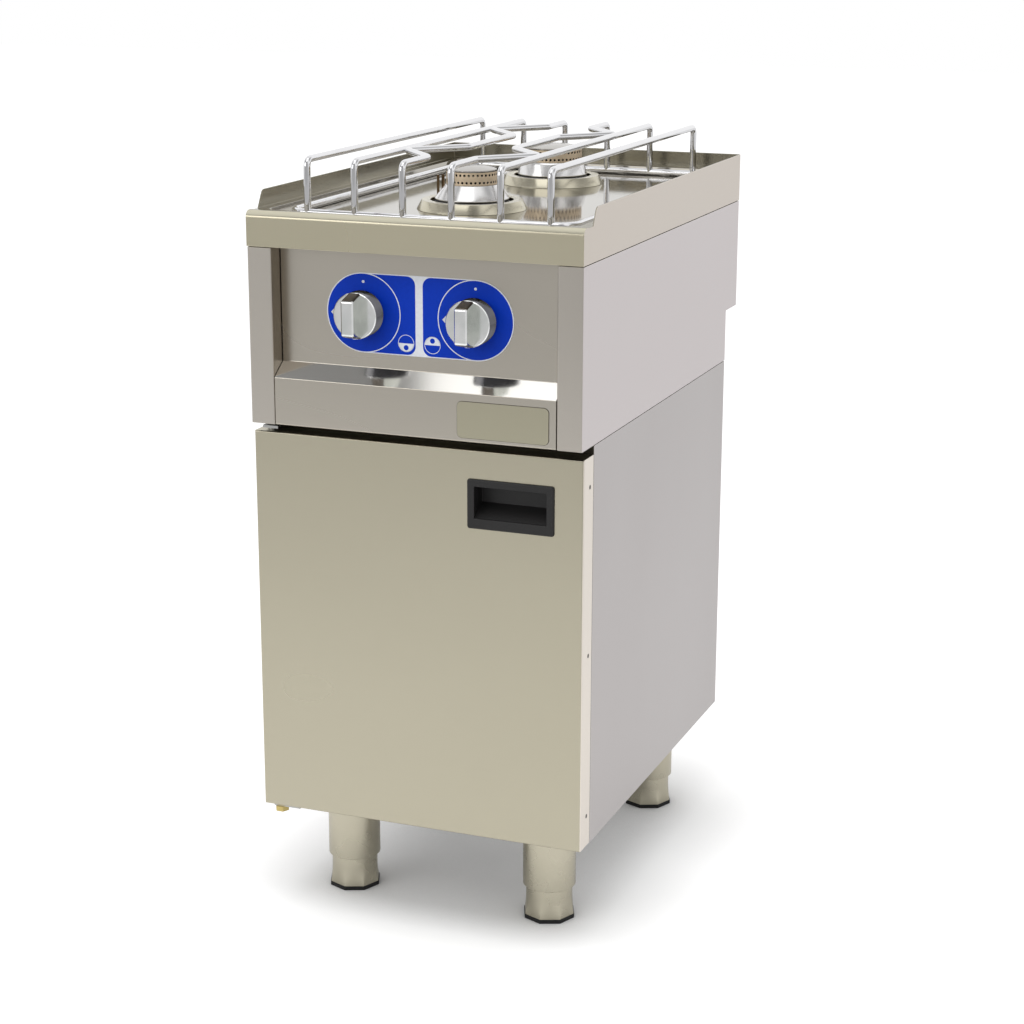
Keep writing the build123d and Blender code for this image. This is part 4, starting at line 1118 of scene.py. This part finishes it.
def seen_rays(tree):
    """1 for camera, glossy and transmission rays."""
    path = tree.nodes.new("ShaderNodeLightPath")
    value = math_node(tree, "MAXIMUM", path.outputs["Is Camera Ray"], path.outputs["Is Glossy Ray"])
    return math_node(tree, "MAXIMUM", value, path.outputs["Is Transmission Ray"])


def flat(name, corners, height, finish):
    """A four-cornered sheet at one height."""
    mesh = bpy.data.meshes.new(name)
    mesh.from_pydata([(x, y, height) for x, y in corners], [], [(0, 1, 2, 3)])
    mesh.materials.append(finish)
    return linked(name, mesh)


def empty_material(name):
    """A material with no nodes in it yet."""
    finish = bpy.data.materials.new(name)
    finish.use_nodes = True
    finish.node_tree.nodes.clear()
    return finish


def make_floor():
    """Pale floor that shows white, with the stove's shadow painted into its glow; metal sees it darken far
    in front.
    """
    finish = empty_material("pale_floor")
    tree = finish.node_tree
    diffuse = tree.nodes.new("ShaderNodeBsdfDiffuse")
    glow = tree.nodes.new("ShaderNodeEmission")
    # Painted shadow: the floor's glow is dimmed by ambient occlusion round and under the stove
    corner = tree.nodes.new("ShaderNodeAmbientOcclusion")
    corner.samples = 6
    corner.inputs["Distance"].default_value = FLOOR_SHADE_REACH
    shade = math_node(tree, "POWER", corner.outputs["AO"], FLOOR_SHADE_POWER)
    place = tree.nodes.new("ShaderNodeSeparateXYZ")
    spot = tree.nodes.new("ShaderNodeTexCoord")
    tree.links.new(spot.outputs["Object"], place.inputs[0])
    path = tree.nodes.new("ShaderNodeLightPath")
    nearness = map_node(tree, place.outputs["Y"], FLOOR_FAR, FLOOR_NEAR, FRONT_FLOOR, 1.0)
    nearness = math_node(tree, "MAXIMUM", nearness, path.outputs["Is Camera Ray"])
    tree.links.new(math_node(tree, "MULTIPLY", nearness, FLOOR_WHITE), diffuse.inputs["Color"])
    lift = map_node(tree, path.outputs["Is Camera Ray"], 0, 1, FLOOR_MIRRORED_GLOW, FLOOR_GLOW)
    lift = math_node(tree, "MULTIPLY", lift, seen_rays(tree))
    lift = math_node(tree, "MULTIPLY", lift, shade)
    total = tree.nodes.new("ShaderNodeAddShader")
    out = tree.nodes.new("ShaderNodeOutputMaterial")
    tree.links.new(math_node(tree, "MULTIPLY", lift, nearness), glow.inputs["Strength"])
    tree.links.new(diffuse.outputs[0], total.inputs[0])
    tree.links.new(glow.outputs[0], total.inputs[1])
    tree.links.new(total.outputs[0], out.inputs["Surface"])
    reach = FLOOR_REACH
    floor = flat("floor", ((-reach, -reach), (reach, -reach), (reach, reach), (-reach, reach)), 0, finish)


def wall_bands(tree, way):
    """Brightness of the walls round the stove, by the compass direction of a ray."""
    front = math_node(tree, "MULTIPLY", way.outputs["Y"], -1.0)
    turn = math_node(tree, "ARCTAN2", way.outputs["X"], front)
    bands = tree.nodes.new("ShaderNodeValToRGB")
    tree.links.new(map_node(tree, turn, -math.pi, math.pi, 0.0, 1.0), bands.inputs[0])
    stops = bands.color_ramp.elements
    for stop in stops:
        stop.color = (BACK_WALL, BACK_WALL, BACK_WALL, 1)
    for degrees, level in WALLS:
        stops.new(degrees / 360 + 0.5).color = (level, level, level, 1)
    return bands.outputs[0]


def make_world():
    """White surroundings; metal mirrors walls with dark and light bands, and a greyer ceiling."""
    world = bpy.data.worlds.new("studio")
    world.use_nodes = True
    scene.world = world
    tree = world.node_tree
    background = tree.nodes["Background"]
    background.inputs["Color"].default_value = (1, 1, 1, 1)
    way = tree.nodes.new("ShaderNodeSeparateXYZ")
    spot = tree.nodes.new("ShaderNodeTexCoord")
    tree.links.new(spot.outputs["Generated"], way.inputs[0])
    horizon = map_node(tree, way.outputs["Y"], *HORIZON_REAR, FRONT_WALL, BACK_WALL)
    raised = map_node(tree, way.outputs["Z"], *HORIZON_RISE, 0.0, 1.0)
    around = blend_node(tree, raised, horizon, wall_bands(tree, way))
    right = map_node(tree, way.outputs["X"], *CEILING_RIGHT, CEILING, 1.0)
    back = map_node(tree, way.outputs["Y"], *CEILING_REAR, CEILING, CEILING_BACK)
    overhead = math_node(tree, "MAXIMUM", right, back)
    steep = map_node(tree, way.outputs["Z"], *CEILING_RISE, 0.0, 1.0)
    mirrored = blend_node(tree, steep, around, overhead)
    path = tree.nodes.new("ShaderNodeLightPath")
    shown = math_node(tree, "MAXIMUM", mirrored, path.outputs["Is Camera Ray"])
    strength = blend_node(tree, seen_rays(tree), WORLD_LIGHT, shown)
    tree.links.new(strength, background.inputs["Strength"])


def make_softbox():
    """A bright card overhead that only mirroring surfaces show."""
    finish = empty_material("softbox_glow")
    tree = finish.node_tree
    glow = tree.nodes.new("ShaderNodeEmission")
    glow.inputs["Strength"].default_value = SOFTBOX
    clear = tree.nodes.new("ShaderNodeBsdfTransparent")
    path = tree.nodes.new("ShaderNodeLightPath")
    mix = tree.nodes.new("ShaderNodeMixShader")
    out = tree.nodes.new("ShaderNodeOutputMaterial")
    tree.links.new(path.outputs["Is Glossy Ray"], mix.inputs[0])
    tree.links.new(clear.outputs[0], mix.inputs[1])
    tree.links.new(glow.outputs[0], mix.inputs[2])
    tree.links.new(mix.outputs[0], out.inputs["Surface"])
    (left, front), (right, back) = SOFTBOX_LOW, SOFTBOX_HIGH
    corners = ((left, front), (left, back), (right, back), (right, front))
    card = flat("softbox", corners, SOFTBOX_HEIGHT, finish)


def soft_light(name, place, target, size, power):
    """A broad lamp at a place, aimed at a target."""
    light = bpy.data.lights.new(name, "AREA")
    light.shape = "RECTANGLE"
    light.size, light.size_y = size
    light.energy = power
    lamp = bpy.data.objects.new(name, light)
    lamp.location = place
    lamp.rotation_euler = (Vector(target) - Vector(place)).to_track_quat("-Z", "Y").to_euler()
    scene.collection.objects.link(lamp)
    return lamp


def make_studio():
    """Floor, surroundings and two broad lamps; the card stands in for the overhead one in metal."""
    make_floor()
    make_world()
    make_softbox()
    lamp = soft_light("overhead", (0.2, -0.75, 2.1), target=(0.2, -0.749, 0), size=(1.6, 1.1), power=16)
    lamp.visible_glossy = False
    soft_light("front", (-1.8, -2.6, 1.8), target=(0, 0, 0.6), size=(2.0, 1.6), power=18)
    scene.view_settings.view_transform = "Standard"


def make_camera():
    """Camera at the photo's place and angle."""
    camera = bpy.data.cameras.new("camera")
    camera.lens = LENS
    camera.sensor_width = SENSOR
    viewer = bpy.data.objects.new("camera", camera)
    viewer.location = CAMERA_AT
    turn = Matrix.Rotation(AZIMUTH, 3, "Z") @ Matrix.Rotation(TILT, 3, "X")
    turn = turn @ Matrix.Rotation(ROLL, 3, "Z")
    viewer.rotation_euler = turn.to_euler()
    scene.collection.objects.link(viewer)
    scene.camera = viewer


make_sheet_metal()
make_pan_support()
ports = round_pattern_tree()
for which in ("front", "rear"):
    make_burner(which, ports)
make_label()
for side in ("left", "right"):
    make_knob(side)
make_legs()
finish_inner_nodes()
make_studio()
make_camera()
